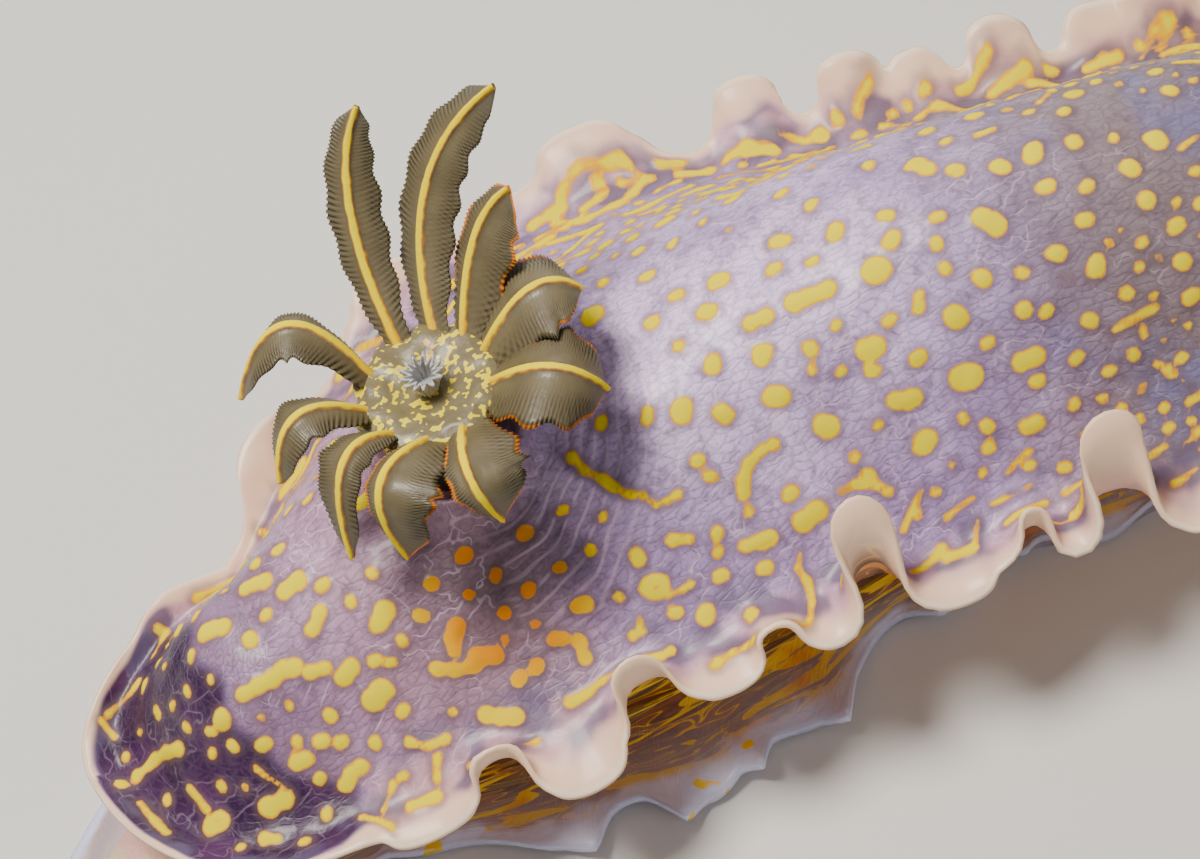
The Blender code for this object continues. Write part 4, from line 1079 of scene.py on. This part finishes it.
@dataclass
class Skin:
    """The one skin of mantle, flank, head and foot."""

    plan: BodyPlan
    fine_step: float = 0.25
    fine_until: float = 61.0
    coarse_step: float = 0.5
    back_rings: int = 66
    under_rings: int = 11
    flank_rings: int = 14
    foot_rings: int = 13
    sole_rings: int = 4
    gill_collar: Row = (3.1, 3.9, 1.5, 0.55)
    rhinophore_collar: Row = (1.35, 1.95, 1.7, 0.36)
    mouth: tuple[float, float] = (4.4, 1.5)
    lip: Row = (0.5, 0.75, 0.5)
    slit: tuple[float, float] = (0.75, 0.24)
    spot_height: float = 0.11
    lumps: tuple[Row, ...] = ((0.16, 2.6, 3.0), (0.07, 1.1, 9.0))
    fold_pitch: float = 0.85
    fold_height: float = 0.07
    # Middle and half-widths of the painted shade beside the gill
    gill_shade: Row = (20.5, 5.5, -6.5, 5.0)
    # Middle and half-widths of the painted highlight patch on the back
    painted_highlight_place: Row = (36.0, 9.0, -1.5, 6.5)
    hood: tuple[float, float] = (34.4, 40.4)
    foot_folds: tuple[Row, ...] = ((23.4, 1.5, 1.5, 0.9), (28.3, 1.2, 1.3, 0.8), (33.6, 1.5, 1.4, 0.9),
                                   (18.4, 1.6, 1.2, 0.7), (40.5, 1.8, 1.0, 0.7), (46.0, 1.5, 1.1, 0.8))
    dusk_border: Knots = ((-13, 8.6), (-10, 9.7), (-8, 8.4), (-6.5, 6.9), (-2.7, 6.5), (3.3, 5.6),
                          (6, 3.5))

    def rings(self) -> list[tuple[Zone, float, Callable[..., np.ndarray]]]:
        """Rings of one half section from the back's middle to the sole's, with zone and place."""
        plan = self.plan
        low, high = plan.foot_edge
        rows: list[tuple[Zone, float, Callable[..., np.ndarray]]] = []
        for r in np.linspace(0, 1, self.back_rings + 1)[1:]:
            rows.append((Zone.BACK, r, lambda p, side, r=r: plan.mantle_top(p, side, r)))
        rows.append((Zone.UNDER_RIM, 1.0, self.rim_edge))
        for r in np.linspace(1.0, plan.root, self.under_rings):
            rows.append((Zone.UNDER_RIM, r, lambda p, side, r=r: plan.mantle_under(p, side, r)))
        for level in np.linspace(0, 1, self.flank_rings + 1)[1:]:
            rows.append((Zone.FLANK, level, lambda p, side, k=level: plan.flank_ring(p, side, k)))
        for q in np.linspace(0, 1, self.foot_rings + 1)[1:]:
            z = high + (plan.foot_top - high) * (1 - q) ** 1.5
            rows.append((Zone.FOOT, q, lambda p, side, q=q, z=z: plan.foot_ring(p, side, q, z)))
        rows.append((Zone.FOOT, 1.0, lambda p, side: plan.foot_ring(p, side, 1.0, low)))
        for q in np.linspace(plan.sole_part, 0, self.sole_rings):
            rows.append((Zone.SOLE, q, lambda p, side, q=q: self.flat(plan.foot_ring(p, side, q, 0.0))))
        return rows

    def flat(self, points: np.ndarray) -> np.ndarray:
        """Points laid on the floor."""
        points[..., 2] = 0.0
        return points

    def rim_edge(self, p: np.ndarray, side: np.ndarray) -> np.ndarray:
        """The rounded edge between the border's two faces."""
        top = self.plan.mantle_top(p, side, np.ones_like(p))
        under = self.plan.mantle_under(p, side, np.ones_like(p))
        inner = self.plan.mantle_top(p, side, np.full_like(p, 0.99))
        out = top - inner
        out /= np.linalg.norm(out, axis=-1, keepdims=True)
        return 0.5 * (top + under) + out * self.plan.edge_thick * 0.45

    def patch(self, s: np.ndarray, y: np.ndarray, place: Row) -> np.ndarray:
        """Soft patch, 1 at its middle; place gives the middle and half-width in s, then in y."""
        return np.exp(-(((s - place[0]) / place[1]) ** 2 + ((y - place[2]) / place[3]) ** 2))

    def collar(self, points: np.ndarray, centre: tuple[float, float], sizes: Row) -> np.ndarray:
        """Height of a raised rim around a hollow, at points of the back."""
        hollow, ring, height, width = sizes
        away = np.hypot(points[..., 0] - centre[0], points[..., 1] - centre[1])
        lip = height * np.exp(-((away - ring) / width) ** 2)
        return lip - 0.6 * ease((hollow + 0.3 - away) / 0.8)

    def build(self, markings: Markings, finish: SkinFinish) -> bpy.types.Object:
        """Builds the skin and its attributes.

        Args:
            markings: The back's yellow marks.
            finish: The skin's finish.

        Returns:
            The finished object.
        """
        plan = self.plan
        rows = self.rings()
        fine = round((self.fine_until - plan.p_rear) / self.fine_step)
        coarse = round((plan.p_front - self.fine_until) / self.coarse_step)
        p = np.concatenate([np.linspace(plan.p_rear, self.fine_until, fine + 1),
                            np.linspace(self.fine_until, plan.p_front, coarse + 1)[1:]])
        zones = np.array([row[0].value for row in rows])
        values = np.array([row[1] for row in rows])
        halves = {side: np.stack([row[2](p, np.full_like(p, side.value)) for row in rows], 1)
                  for side in Side}
        crown = plan.mantle_top(p, 1.0, 0.0)[:, None]
        belly = np.stack([plan.station(p)[0], 0 * p, 0 * p], -1)[:, None]
        points = np.concatenate([crown, halves[Side.LEFT], belly, halves[Side.RIGHT][:, ::-1]], 1)
        zone = np.concatenate([[0], zones, [Zone.SOLE.value], zones[::-1]])
        value = np.concatenate([[0.0], values, [0.0], values[::-1]])
        sign = np.concatenate([[1], np.ones(len(rows)), [1], -np.ones(len(rows))])
        layers = self.layers(p, points, zone, value, sign, markings)
        points = self.relief(p, points, zone, value, layers)
        return Loft("skin", plan.place(points), layers).build(finish.material())

    def layers(self, p: np.ndarray, points: np.ndarray, zone: np.ndarray, value: np.ndarray,
               sign: np.ndarray, markings: Markings) -> dict[str, np.ndarray]:
        """Attributes of the skin, each with a value for every point.

        Args:
            p: Sections.
            points: Body coordinates.
            zone: Zone of each ring.
            value: Reach or level of each ring.
            sign: Side of each ring.
            markings: The back's marks.

        Returns:
            The attributes by name.
        """
        plan = self.plan
        shape = points.shape[:2]
        back, beneath, flank, foot, sole = (zone == item.value for item in Zone)
        s, y = points[..., 0], points[..., 1]
        rest = plan.mantle_top(p[:, None], sign[None, back], value[None, back], frilled=False)
        spot = np.full(shape, 2.0)
        spot[:, back] = markings.field(rest)
        width = plan.by_side(sign[None], plan.left_rim, plan.right_rim, p[:, None])
        rim = np.full(shape, FAR)
        border = back | beneath
        rim[:, border] = ((1 - value)[None] * width * 1.12)[:, border]
        level = np.zeros(shape)
        level[:, flank] = value[flank] * 4.0
        level[:, foot] = 4.0 + value[foot] * 3.0
        level[:, beneath] = -2.5 * (value[beneath] - plan.root) / (1 - plan.root)
        margin = np.full(shape, FAR)
        margin[:, foot] = ((1 - value)[None] * np.where(s < plan.s_rear, 6.0, 4.2))[:, foot]
        rim *= 1 + 3.0 * ease((9.5 - s) / 5.0) * (rim < 8.9)
        dusk_from = along(self.dusk_border, y) + 0.35 * np.sin(1.9 * y)
        dusk = ease((dusk_from - s) / 1.5 + 0.5) * ease((rim - 0.4) / 1.1)
        dusk = np.maximum(dusk, 0.34 * ease((14.5 - s) / 7.0) * ease((rim - 2.5) / 3.0))
        first, last = self.hood
        hood = (sign < 0)[None] * ease((p[:, None] - first) / 0.8) * ease((last - p[:, None]) / 0.8)
        depth = rim * beneath
        deep = np.maximum(hood * ease((depth - 1.0) / 0.5), ease((depth - 3.4) / 1.4))
        girth = np.cumsum(np.linalg.norm(np.diff(points, axis=1, prepend=points[:, :1]), axis=-1), 1)
        girth[:, sign < 0] = girth[:, -1:] - girth[:, sign < 0]
        away = np.hypot(s - plan.gill[0], y - plan.gill[1])
        rings = ease((away - 4.4) / 1.0) * ease((13.0 - away) / 6.0) * ease((s - 19.0) / 4.0)
        ones = np.ones(shape)
        return {"spot": spot, "rim": rim, "level": level, "girth": girth, "margin": margin,
                "along": np.broadcast_to(p[:, None], shape), "away": away, "rings": rings, "dusk": dusk,
                # Greyer towards the front: partly own tone and partly painted shade
                "rosy": ease((26.0 - s) / 6.0) * (1 - dusk), "grey": ease((s - 43.0) / 12.0),
                # A painted highlight patch on the middle of the back
                # Painted shade beside the gill
                "warm": self.patch(s, y, self.gill_shade), "lit": self.patch(s, y, self.painted_highlight_place),
                "under": ones * beneath, "flank": np.maximum(ones * (flank | foot), deep),
                "sole": ones * sole}

    def relief(self, p: np.ndarray, points: np.ndarray, zone: np.ndarray, value: np.ndarray,
               layers: dict[str, np.ndarray]) -> np.ndarray:
        """Adds raised spots, collars, folds, lips and soft lumps to the skin.

        Args:
            p: Sections.
            points: Body coordinates.
            zone: Zone of each ring.
            value: Reach or level of each ring.
            layers: The skin's attributes.

        Returns:
            The points moved along their normals.
        """
        normal = grid_normals(points, 1.0)
        back = (zone == Zone.BACK.value)[None] * np.ones(points.shape[:2])
        push = self.spot_height * ease((0.08 - layers["spot"]) / 0.3)
        for height, cell, seed in self.lumps:
            push = push + height * rumple(points, cell, seed) * back
        s, y = points[..., 0], points[..., 1]
        folds = np.sin(2 * math.pi * layers["away"] / self.fold_pitch + 1.6 * rumple(points, 5.0, 1.0))
        push = push + self.fold_height * folds * layers["rings"] * back
        up = self.collar(points, self.plan.gill, self.gill_collar)
        for side in Side:
            centre = (self.plan.rhinophore[0], side.value * self.plan.rhinophore[1])
            up = up + self.collar(points, centre, self.rhinophore_collar)
        moved = points + normal * push[..., None]
        moved[..., 2] += up * back
        tip = ((zone == Zone.FOOT.value) * value ** 3)[None] * np.clip(points[..., 2] / 0.4, 0, 1)
        for centre, half, out, rise in self.foot_folds:
            lobe = np.clip(1 - np.abs((p[:, None] - centre - 0.4 * tip) / half), 0, 1) ** 1.3
            lobe = lobe * tip * (y < 0)
            moved[..., 1] -= out * lobe
            moved[..., 2] += rise * lobe
        flank = (zone == Zone.FLANK.value)[None] * ease((s - 90.0) / 1.5)
        height, reach = self.mouth
        tall = np.exp(-((points[..., 2] - height) / reach) ** 2)
        swell, offset, width = self.lip
        deep, narrow = self.slit
        lips = swell * np.exp(-((np.abs(y) - offset) / width) ** 2) - deep * np.exp(-(y / narrow) ** 2)
        moved[..., 0] += lips * tall * flank
        mirror = -np.arange(moved.shape[1]) % moved.shape[1]
        for row in (0, -1):
            moved[row] = 0.5 * (moved[row] + moved[row][mirror])
        return moved


@dataclass
class GillCrown:
    """Disc, leaves and pleated vent of the gill plume."""

    plan: BodyPlan
    height: float = 20.5
    leaf_root: float = 2.7
    leaves: tuple[Row, ...] = (
        (98, 87, 75, 7.6, 10.2, 4.4, 8.2, 1.3, 1.6), (62, 61, 40, 7.8, 10.8, 4.4, 8.7, 1.6, 1.9),
        (32, 40, 30, 6.2, 8.2, 3.0, 5.2, 0.9, 1.9), (7, 7, 2, 6.1, 8.2, 2.1, 1.1, 1.6, 2.2),
        (-26, -34, -31, 6.4, 8.5, 1.8, -0.4, 1.9, 2.3),
        (-76, -92, -88, 6.8, 7.8, 1.5, -1.2, 2.5, 1.0),
        (-108, -128, -125, 6.5, 7.7, 1.6, -2.5, 2.5, 0.8),
        (-145, -149, -144, 5.8, 8.3, 1.5, -2.5, 0.9, 1.3),
        (176, 178, -173, 5.8, 8.0, 2.0, -0.2, 1.4, 1.1),
        (137, 135, 152, 6.2, 8.8, 3.0, 0.2, 1.7, 0.8))
    leaf_shape: Knots = ((0, 0.42), (0.15, 0.74), (0.4, 1.0), (0.7, 0.9), (0.9, 0.6), (1, 0.3))
    section: tuple[Row, ...] = ((0.0, 0.2), (0.14, 0.16), (0.24, 0.03), (0.6, -0.08), (1.0, -0.3),
                                (0.86, -0.46), (0.52, -0.72), (0.22, -0.92), (0.0, -1.02))
    disc_profile: Knots = ((2.3, -6.0), (2.2, -4.0), (2.2, -2.8), (2.6, -1.7), (3.2, -1.1), (3.62, -0.5),
                           (3.5, -0.12), (2.9, 0.1), (2.1, 0.05), (1.5, -0.15), (0.9, -0.35),
                           (0.02, -0.4))
    lamella_pitch: float = 0.24
    ridge: float = 0.27
    ridge_part: float = 0.24
    lobe_pitch: float = 1.1
    leaf_depth: float = 0.95
    papilla: tuple[float, float] = (0.9, 1.2)
    pleats: int = 13
    hem_leaves: tuple[int, ...] = (3, 4, 5, 6, 7)
    breadths: Row = (0.86, 0.92, 1.15, 1.3, 1.3, 1.1, 1.1, 1.1, 1.1, 1.1)

    def spine(self, row: Row, count: int) -> np.ndarray:
        """Spine of one leaf from root to tip.

        Args:
            row: The leaf's azimuths, reaches, rises and width.
            count: Number of points.

        Returns:
            Points in body coordinates.
        """
        stops = []
        for turn, reach, up in ((row[0], self.leaf_root, -0.4), (row[1], row[3], row[5]),
                                (row[2], row[4], row[6])):
            angle = math.radians(turn)
            stops.append((self.plan.gill[0] + reach * math.cos(angle),
                          self.plan.gill[1] + reach * math.sin(angle), self.height + up))
        root, middle, tip = (np.array(stop) for stop in stops)
        handle = 2 * middle - 0.5 * (root + tip)
        t = np.linspace(0.0, 1.0, count)[:, None]
        return (1 - t) ** 2 * root + 2 * t * (1 - t) * handle + t ** 2 * tip

    def leaf(self, number: int, row: Row, material: bpy.types.Material) -> bpy.types.Object:
        """Builds one leaf with its comb of lamellae.

        Args:
            number: The leaf's number.
            row: The leaf's azimuths, reaches, rises and width.
            material: The leaf's finish.

        Returns:
            The finished object.
        """
        rough = self.spine(row, 40)
        length = float(np.sum(np.linalg.norm(np.diff(rough, axis=0), axis=1)))
        lamellae = round(length / self.lamella_pitch)
        count = lamellae * 4 + 1
        path = self.spine(row, count)
        t = np.linspace(0.0, 1.0, count)
        shape = along(self.leaf_shape, t) * np.sqrt(np.clip((1.003 - t) / 0.09, 0.01, 1))
        right = np.array(self.section)
        ring = self.refined(np.concatenate([right, right[-2:0:-1] * (-1, 1)]))
        ahead = np.gradient(path, axis=0)
        ahead /= np.linalg.norm(ahead, axis=1, keepdims=True)
        chord = path[-1] - path[0]
        flat = np.array([-chord[1], chord[0], 0.0])
        flat /= np.linalg.norm(flat)
        across = flat - ahead * (ahead @ flat)[:, None]
        across /= np.linalg.norm(across, axis=1, keepdims=True)
        inward = np.cross(ahead, across)
        a, b = ring[:, 0][None], ring[:, 1][None]
        half = np.where(a > 0, row[7], row[8]) * self.breadths[number - 1] * shape[:, None]
        depth = self.leaf_depth * shape[:, None]
        ridge = self.ridge * (0.5 + 0.5 * shape[:, None])
        part = self.ridge_part
        inner = np.minimum(np.abs(a) / part, 1.0) * ridge
        reach = inner + np.clip((np.abs(a) - part) / (1 - part), 0, 1) * (half - ridge)
        rise = np.where(b > 0, b, b * depth)
        vane = np.clip((np.abs(a) - part) / 0.5, 0, 1)
        blade = np.maximum(vane, np.clip(-b - 0.2, 0, 1))
        wander = 0.5 * np.sin(5.1 * t + number) + 0.3 * np.sin(13.7 * t + 2.0 * number)
        phase = lamellae * t[:, None] - 1.6 * np.abs(a) * half + wander[:, None]
        comb = 0.5 + 0.5 * np.cos(2 * math.pi * phase)
        fade = np.clip((0.97 - t) / 0.1, 0, 1)[:, None] * np.clip(t / 0.08, 0, 1)[:, None]
        wave = math.pi * length * t[:, None] / self.lobe_pitch
        lobes = 1 + 0.07 * np.sin(wave + 2.2 * (a > 0) + number) * vane
        swell = lobes + (comb - 0.7) * 0.1 * blade * fade / np.maximum(half, 0.6)
        points = path[:, None] + across[:, None] * (np.sign(a) * reach * swell)[..., None]
        points = points + inward[:, None] * (rise * swell)[..., None]
        lift = (comb - 0.5) * 0.07 * blade * fade * np.where(b > -0.32, 1.0, 0.0)
        points = points + inward[:, None] * lift[..., None]
        points[..., 2] += 0.12 * np.sin(9 * t + number)[:, None] * np.abs(a)
        size = points.shape[:2]
        bare = 3.0 * (number not in self.hem_leaves) + 0.4 * np.clip(0.3 - t, 0, 1)[:, None]
        line = reach + 2.0 * (np.abs(a) > 0.5) + 2.0 * (b < -0.4) + 0.08 * t[:, None]
        layers = {"comb": 1 - (1 - comb) * blade * fade, "run": np.broadcast_to(t[:, None], size),
                  "line": line, "hem": (1 - np.abs(a)) * half + bare}
        return Loft(f"gill_leaf_{number:02d}_flesh", self.plan.place(points), layers).build(material)

    def refined(self, ring: np.ndarray) -> np.ndarray:
        """Ring of points with two more on each side between neighbours."""
        step = np.roll(ring, -1, axis=0) - ring
        return np.stack([ring, ring + step / 3, ring + step * 2 / 3], 1).reshape(-1, 2)

    def disc(self, material: bpy.types.Material) -> bpy.types.Object:
        """Builds the stalk and the disc."""
        turns = ring_turns(72)
        profile = np.array(self.disc_profile)
        t = np.linspace(0, len(profile) - 1, 60)
        radius = np.interp(t, np.arange(len(profile)), profile[:, 0])
        up = np.interp(t, np.arange(len(profile)), profile[:, 1])
        lobes = 1 + 0.05 * np.cos(10 * turns)[None] * ease((up[:, None] + 1.6) / 1.0)
        s = self.plan.gill[0] + radius[:, None] * lobes * np.cos(turns)
        y = self.plan.gill[1] + radius[:, None] * lobes * np.sin(turns)
        z = np.broadcast_to((self.height + up)[:, None], s.shape)
        points = np.stack([s, y, z], -1)
        lumps = rumple(points, 0.9, 5.0)
        points[..., 2] += 0.14 * lumps * ease((up[:, None] + 0.6) / 0.5)
        top = np.broadcast_to(ease((up[:, None] + 1.0) / 0.5), s.shape)
        return Loft("gill_disc_flesh", self.plan.place(points), {"top": top}).build(material)

    def vent(self, material: bpy.types.Material) -> bpy.types.Object:
        """Builds the pleated vent in the middle of the disc."""
        radius, height = self.papilla
        turns = ring_turns(108)
        t = np.linspace(0, 1, 26)[:, None]
        outer = radius * (0.6 + 0.4 * t ** 1.5)
        pleat = np.sin(self.pleats * turns + 0.6 * np.sin(3 * turns))[None]
        wall = outer * (1 + (0.05 + 0.24 * t) * pleat)
        inner = (wall - 0.1) * 0.84
        radii = np.concatenate([wall, inner[::-1]])
        levels = np.concatenate([t, t[::-1] * 0.97 + 0.02])
        flare = 0.1 * pleat * levels
        s = self.plan.gill[0] + radii * np.cos(turns)
        y = self.plan.gill[1] + radii * np.sin(turns)
        z = self.height - 0.2 + height * levels + flare
        z[-1] = self.height
        points = np.stack([s, y, z], -1)
        return Loft("vent_frill", self.plan.place(points)).build(material)


@dataclass
class Rhinophore:
    """One of the two horns on the head, a stalk with a club of slanting leaves."""

    plan: BodyPlan
    side: Side
    sizes: Row = (0.95, 1.45, 9.2)
    lean: tuple[float, float] = (0.10, 0.16)
    leaves: int = 17
    neck: float = 0.3

    def build(self, material: bpy.types.Material) -> bpy.types.Object:
        """Builds the rhinophore.

        Args:
            material: Its finish.

        Returns:
            The finished object.
        """
        stalk, club, height = self.sizes
        s0, y0 = self.plan.rhinophore
        y0 *= self.side.value
        floor = float(self.plan.height_at(s0, y0)) - 0.6
        turns = ring_turns(48)[None]
        neck = self.neck
        level = np.concatenate([np.linspace(0, neck, 8), np.linspace(neck, 1, self.leaves * 8)[1:]])
        level = level[:, None]
        t = np.clip((level - neck) / (1 - neck), 0, 1)
        radius = stalk + (club - stalk) * np.sin(math.pi * np.minimum(1, t * 1.4) / 2)
        radius = radius * np.sqrt(np.maximum(0.03, 1 - np.maximum(0, (t - 0.35) / 0.65) ** 2.2))
        taper = stalk * (1 - 0.14 * np.sin(level / neck * math.pi / 2))
        radius = np.where(level < neck, taper, radius)
        saw = (self.leaves * t) % 1.0
        comb = 0.78 + 0.22 * np.sqrt(np.clip(1 - np.abs(2 * saw - 1) ** 2, 0, 1))
        front = 0.5 + 0.5 * np.cos(turns)
        plain = np.exp(-((np.abs(np.abs(turns - math.pi) - math.pi)) / 0.22) ** 2)
        active = ((t > 0) & (t < 0.94)) * (1 - plain)
        radius = radius * (1 + (comb - 1) * active)
        centre_s = s0 + self.lean[0] * level * height
        centre_y = y0 + self.side.value * self.lean[1] * level * height
        s = centre_s + radius * np.cos(turns)
        y = centre_y + radius * np.sin(turns) * 0.92
        z = floor + level * (height + 0.9) + (s - centre_s) * 0.3 * ease(t * 4) * ease((1 - t) * 4)
        points = np.stack([s, y, np.broadcast_to(z, s.shape)], -1)
        line = np.broadcast_to(np.abs(np.sin(turns)) * 1.4 + 3.0 * (front < 0.5), s.shape)
        name = f"rhinophore_{self.side.name.lower()}_flesh"
        return Loft(name, self.plan.place(points), {"line": line}).build(material)


@dataclass
class OralTentacle:
    """One of the two short feelers beside the mouth."""

    plan: BodyPlan
    side: Side
    root: Row = (88.2, 3.6, 4.6)
    tip: Row = (93.6, 6.6, 3.6)
    radii: tuple[float, float] = (1.15, 0.35)

    def build(self, material: bpy.types.Material) -> bpy.types.Object:
        """Builds the feeler with its root inside the head."""
        root, tip = (np.array((s, self.side.value * y, z)) for s, y, z in (self.root, self.tip))
        axis = (tip - root) / np.linalg.norm(tip - root)
        flat = np.array([-axis[1], axis[0], 0.0]) / math.hypot(axis[0], axis[1])
        upward = np.cross(axis, flat)
        t = np.linspace(0, 1, 40)[:, None]
        turns = ring_turns(32)[None]
        radius = self.radii[0] + (self.radii[1] - self.radii[0]) * t
        radius = radius * np.sqrt(np.clip((1.01 - t) / 0.12, 0.02, 1))
        radius = radius * (1 + 0.05 * np.sin(26 * t))
        points = root + (tip - root) * t[..., None]
        for wave, axis in ((np.cos(turns), flat), (np.sin(turns), upward)):
            points = points + (radius * wave)[..., None] * axis
        name = f"oral_tentacle_{self.side.name.lower()}_flesh"
        return Loft(name, self.plan.place(points)).build(material)


@dataclass(frozen=True)
class Studio:
    """Pale floor, soft lights and the camera at the photograph's angle."""

    plan: BodyPlan
    eye: Row = (-17.754, -67.02, 103.736)
    right: Row = (0.9426, -0.2619, -0.2073)
    up: Row = (0.3336, 0.7686, 0.5459)
    back: Row = (0.0163, -0.5837, 0.8118)
    lens: float = 69.23
    floor_size: float = 1.6
    floor_colour: Row = (0.72, 0.71, 0.69, 1.0)
    lamps: tuple[tuple[str, Row, float, float, Colour], ...] = (
        ("key", (-70.0, 20.0, 230.0), 0.08, 0.82, (1.0, 0.95, 0.87)),
        ("fill", (190.0, -220.0, 220.0), 0.26, 0.17, (1.0, 0.97, 0.92)),
        ("rear", (60.0, 260.0, 130.0), 0.2, 0.22, (1.0, 0.97, 0.92)))
    sky_colour: Row = (0.92, 0.94, 1.0, 1.0)
    sky_strength: float = 0.2

    def floor(self) -> None:
        """Lays the floor."""
        mesh = bpy.data.meshes.new("floor")
        bm = bmesh.new()
        bmesh.ops.create_grid(bm, x_segments=1, y_segments=1, size=self.floor_size)
        bm.to_mesh(mesh)
        bm.free()
        board = NodeBoard("pale_floor")
        board.shader.inputs["Base Color"].default_value = self.floor_colour
        board.shader.inputs["Roughness"].default_value = 0.85
        mesh.materials.append(board.material)
        link("floor", mesh)

    def light(self, name: str, place: Row, size: float, power: float, colour: Colour) -> None:
        """Adds one soft area light aimed at the body."""
        lamp = bpy.data.lights.new(name, "AREA")
        lamp.shape = "DISK"
        lamp.size = size
        lamp.energy = power
        lamp.color = colour
        spot = Vector(place) * MM
        turn = (-spot).to_track_quat("-Z", "Y").to_matrix().to_4x4()
        link(name, lamp).matrix_world = Matrix.Translation(spot) @ turn

    def lights(self) -> None:
        """Adds key, fill and back light and the soft surroundings."""
        for lamp in self.lamps:
            self.light(*lamp)
        world = bpy.data.worlds.new("surroundings")
        world.use_nodes = True
        inputs = world.node_tree.nodes["Background"].inputs
        inputs["Color"].default_value = self.sky_colour
        inputs["Strength"].default_value = self.sky_strength
        bpy.context.scene.world = world

    def camera(self) -> None:
        """Adds the camera."""
        data = bpy.data.cameras.new("camera")
        data.lens = self.lens
        data.sensor_width = 36.0
        data.clip_start = 0.005
        item = link("camera", data)
        axes = Matrix((self.right, self.up, self.back)).transposed()
        eye = Vector(self.eye) + Vector((*self.plan.shift, 0.0))
        item.matrix_world = Matrix.Translation(eye * MM) @ axes.to_4x4()
        bpy.context.scene.camera = item


def ride(item: bpy.types.Object, slot: str, *nodes: str) -> None:
    """Parents a finished piece to the root body and hides the solids that it stands for.

    Args:
        item: The piece.
        slot: A material slot name, not used.
        nodes: The solids that it stands for.
    """
    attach(item, "root")
    if nodes:
        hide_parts(*nodes)
    LOG.info("%s: %d faces", item.name, len(item.data.polygons))


def main() -> None:
    """Builds every piece in order."""
    plan = BodyPlan()
    studio = Studio(plan)
    studio.camera()
    studio.lights()
    studio.floor()
    markings = Markings(plan)
    markings.place_all()
    LOG.info("marks: %d blobs", len(markings.radii))
    skin = Skin(plan).build(markings, SkinFinish())
    ride(skin, "mantle", "mantle_rear", "mantle_mid_rear", "mantle_mid_front", "mantle_front",
         "flank_rear", "flank_middle", "flank_front", "head", "tail", "foot_rear", "foot_middle",
         "foot_front", "gill_pocket", "rhinophore_sheath_left", "rhinophore_sheath_right")
    crown = GillCrown(plan)
    gill = GillFinish()
    ride(crown.disc(gill.disc()), "gill", "gill_disc")
    leaf_material = gill.leaf()
    for number, row in enumerate(crown.leaves, start=1):
        ride(crown.leaf(number, row, leaf_material), "gill", f"gill_leaf_{number:02d}")
    vent = PlainFinish("vent_flesh", (190, 192, 196), (150, 150, 146))
    ride(crown.vent(vent.material()), "papilla", "anal_papilla")
    horn = PlainFinish("horn_flesh", (34, 38, 92), (18, 20, 54), (236, 196, 40)).material()
    feeler = PlainFinish("feeler_flesh", (150, 132, 100), (176, 160, 130)).material()
    for side in Side:
        name = side.name.lower()
        ride(Rhinophore(plan, side).build(horn), "rhinophore", f"rhinophore_{name}")
        ride(OralTentacle(plan, side).build(feeler), "flank", f"oral_tentacle_{name}")


if __name__ == "__main__":
    main()
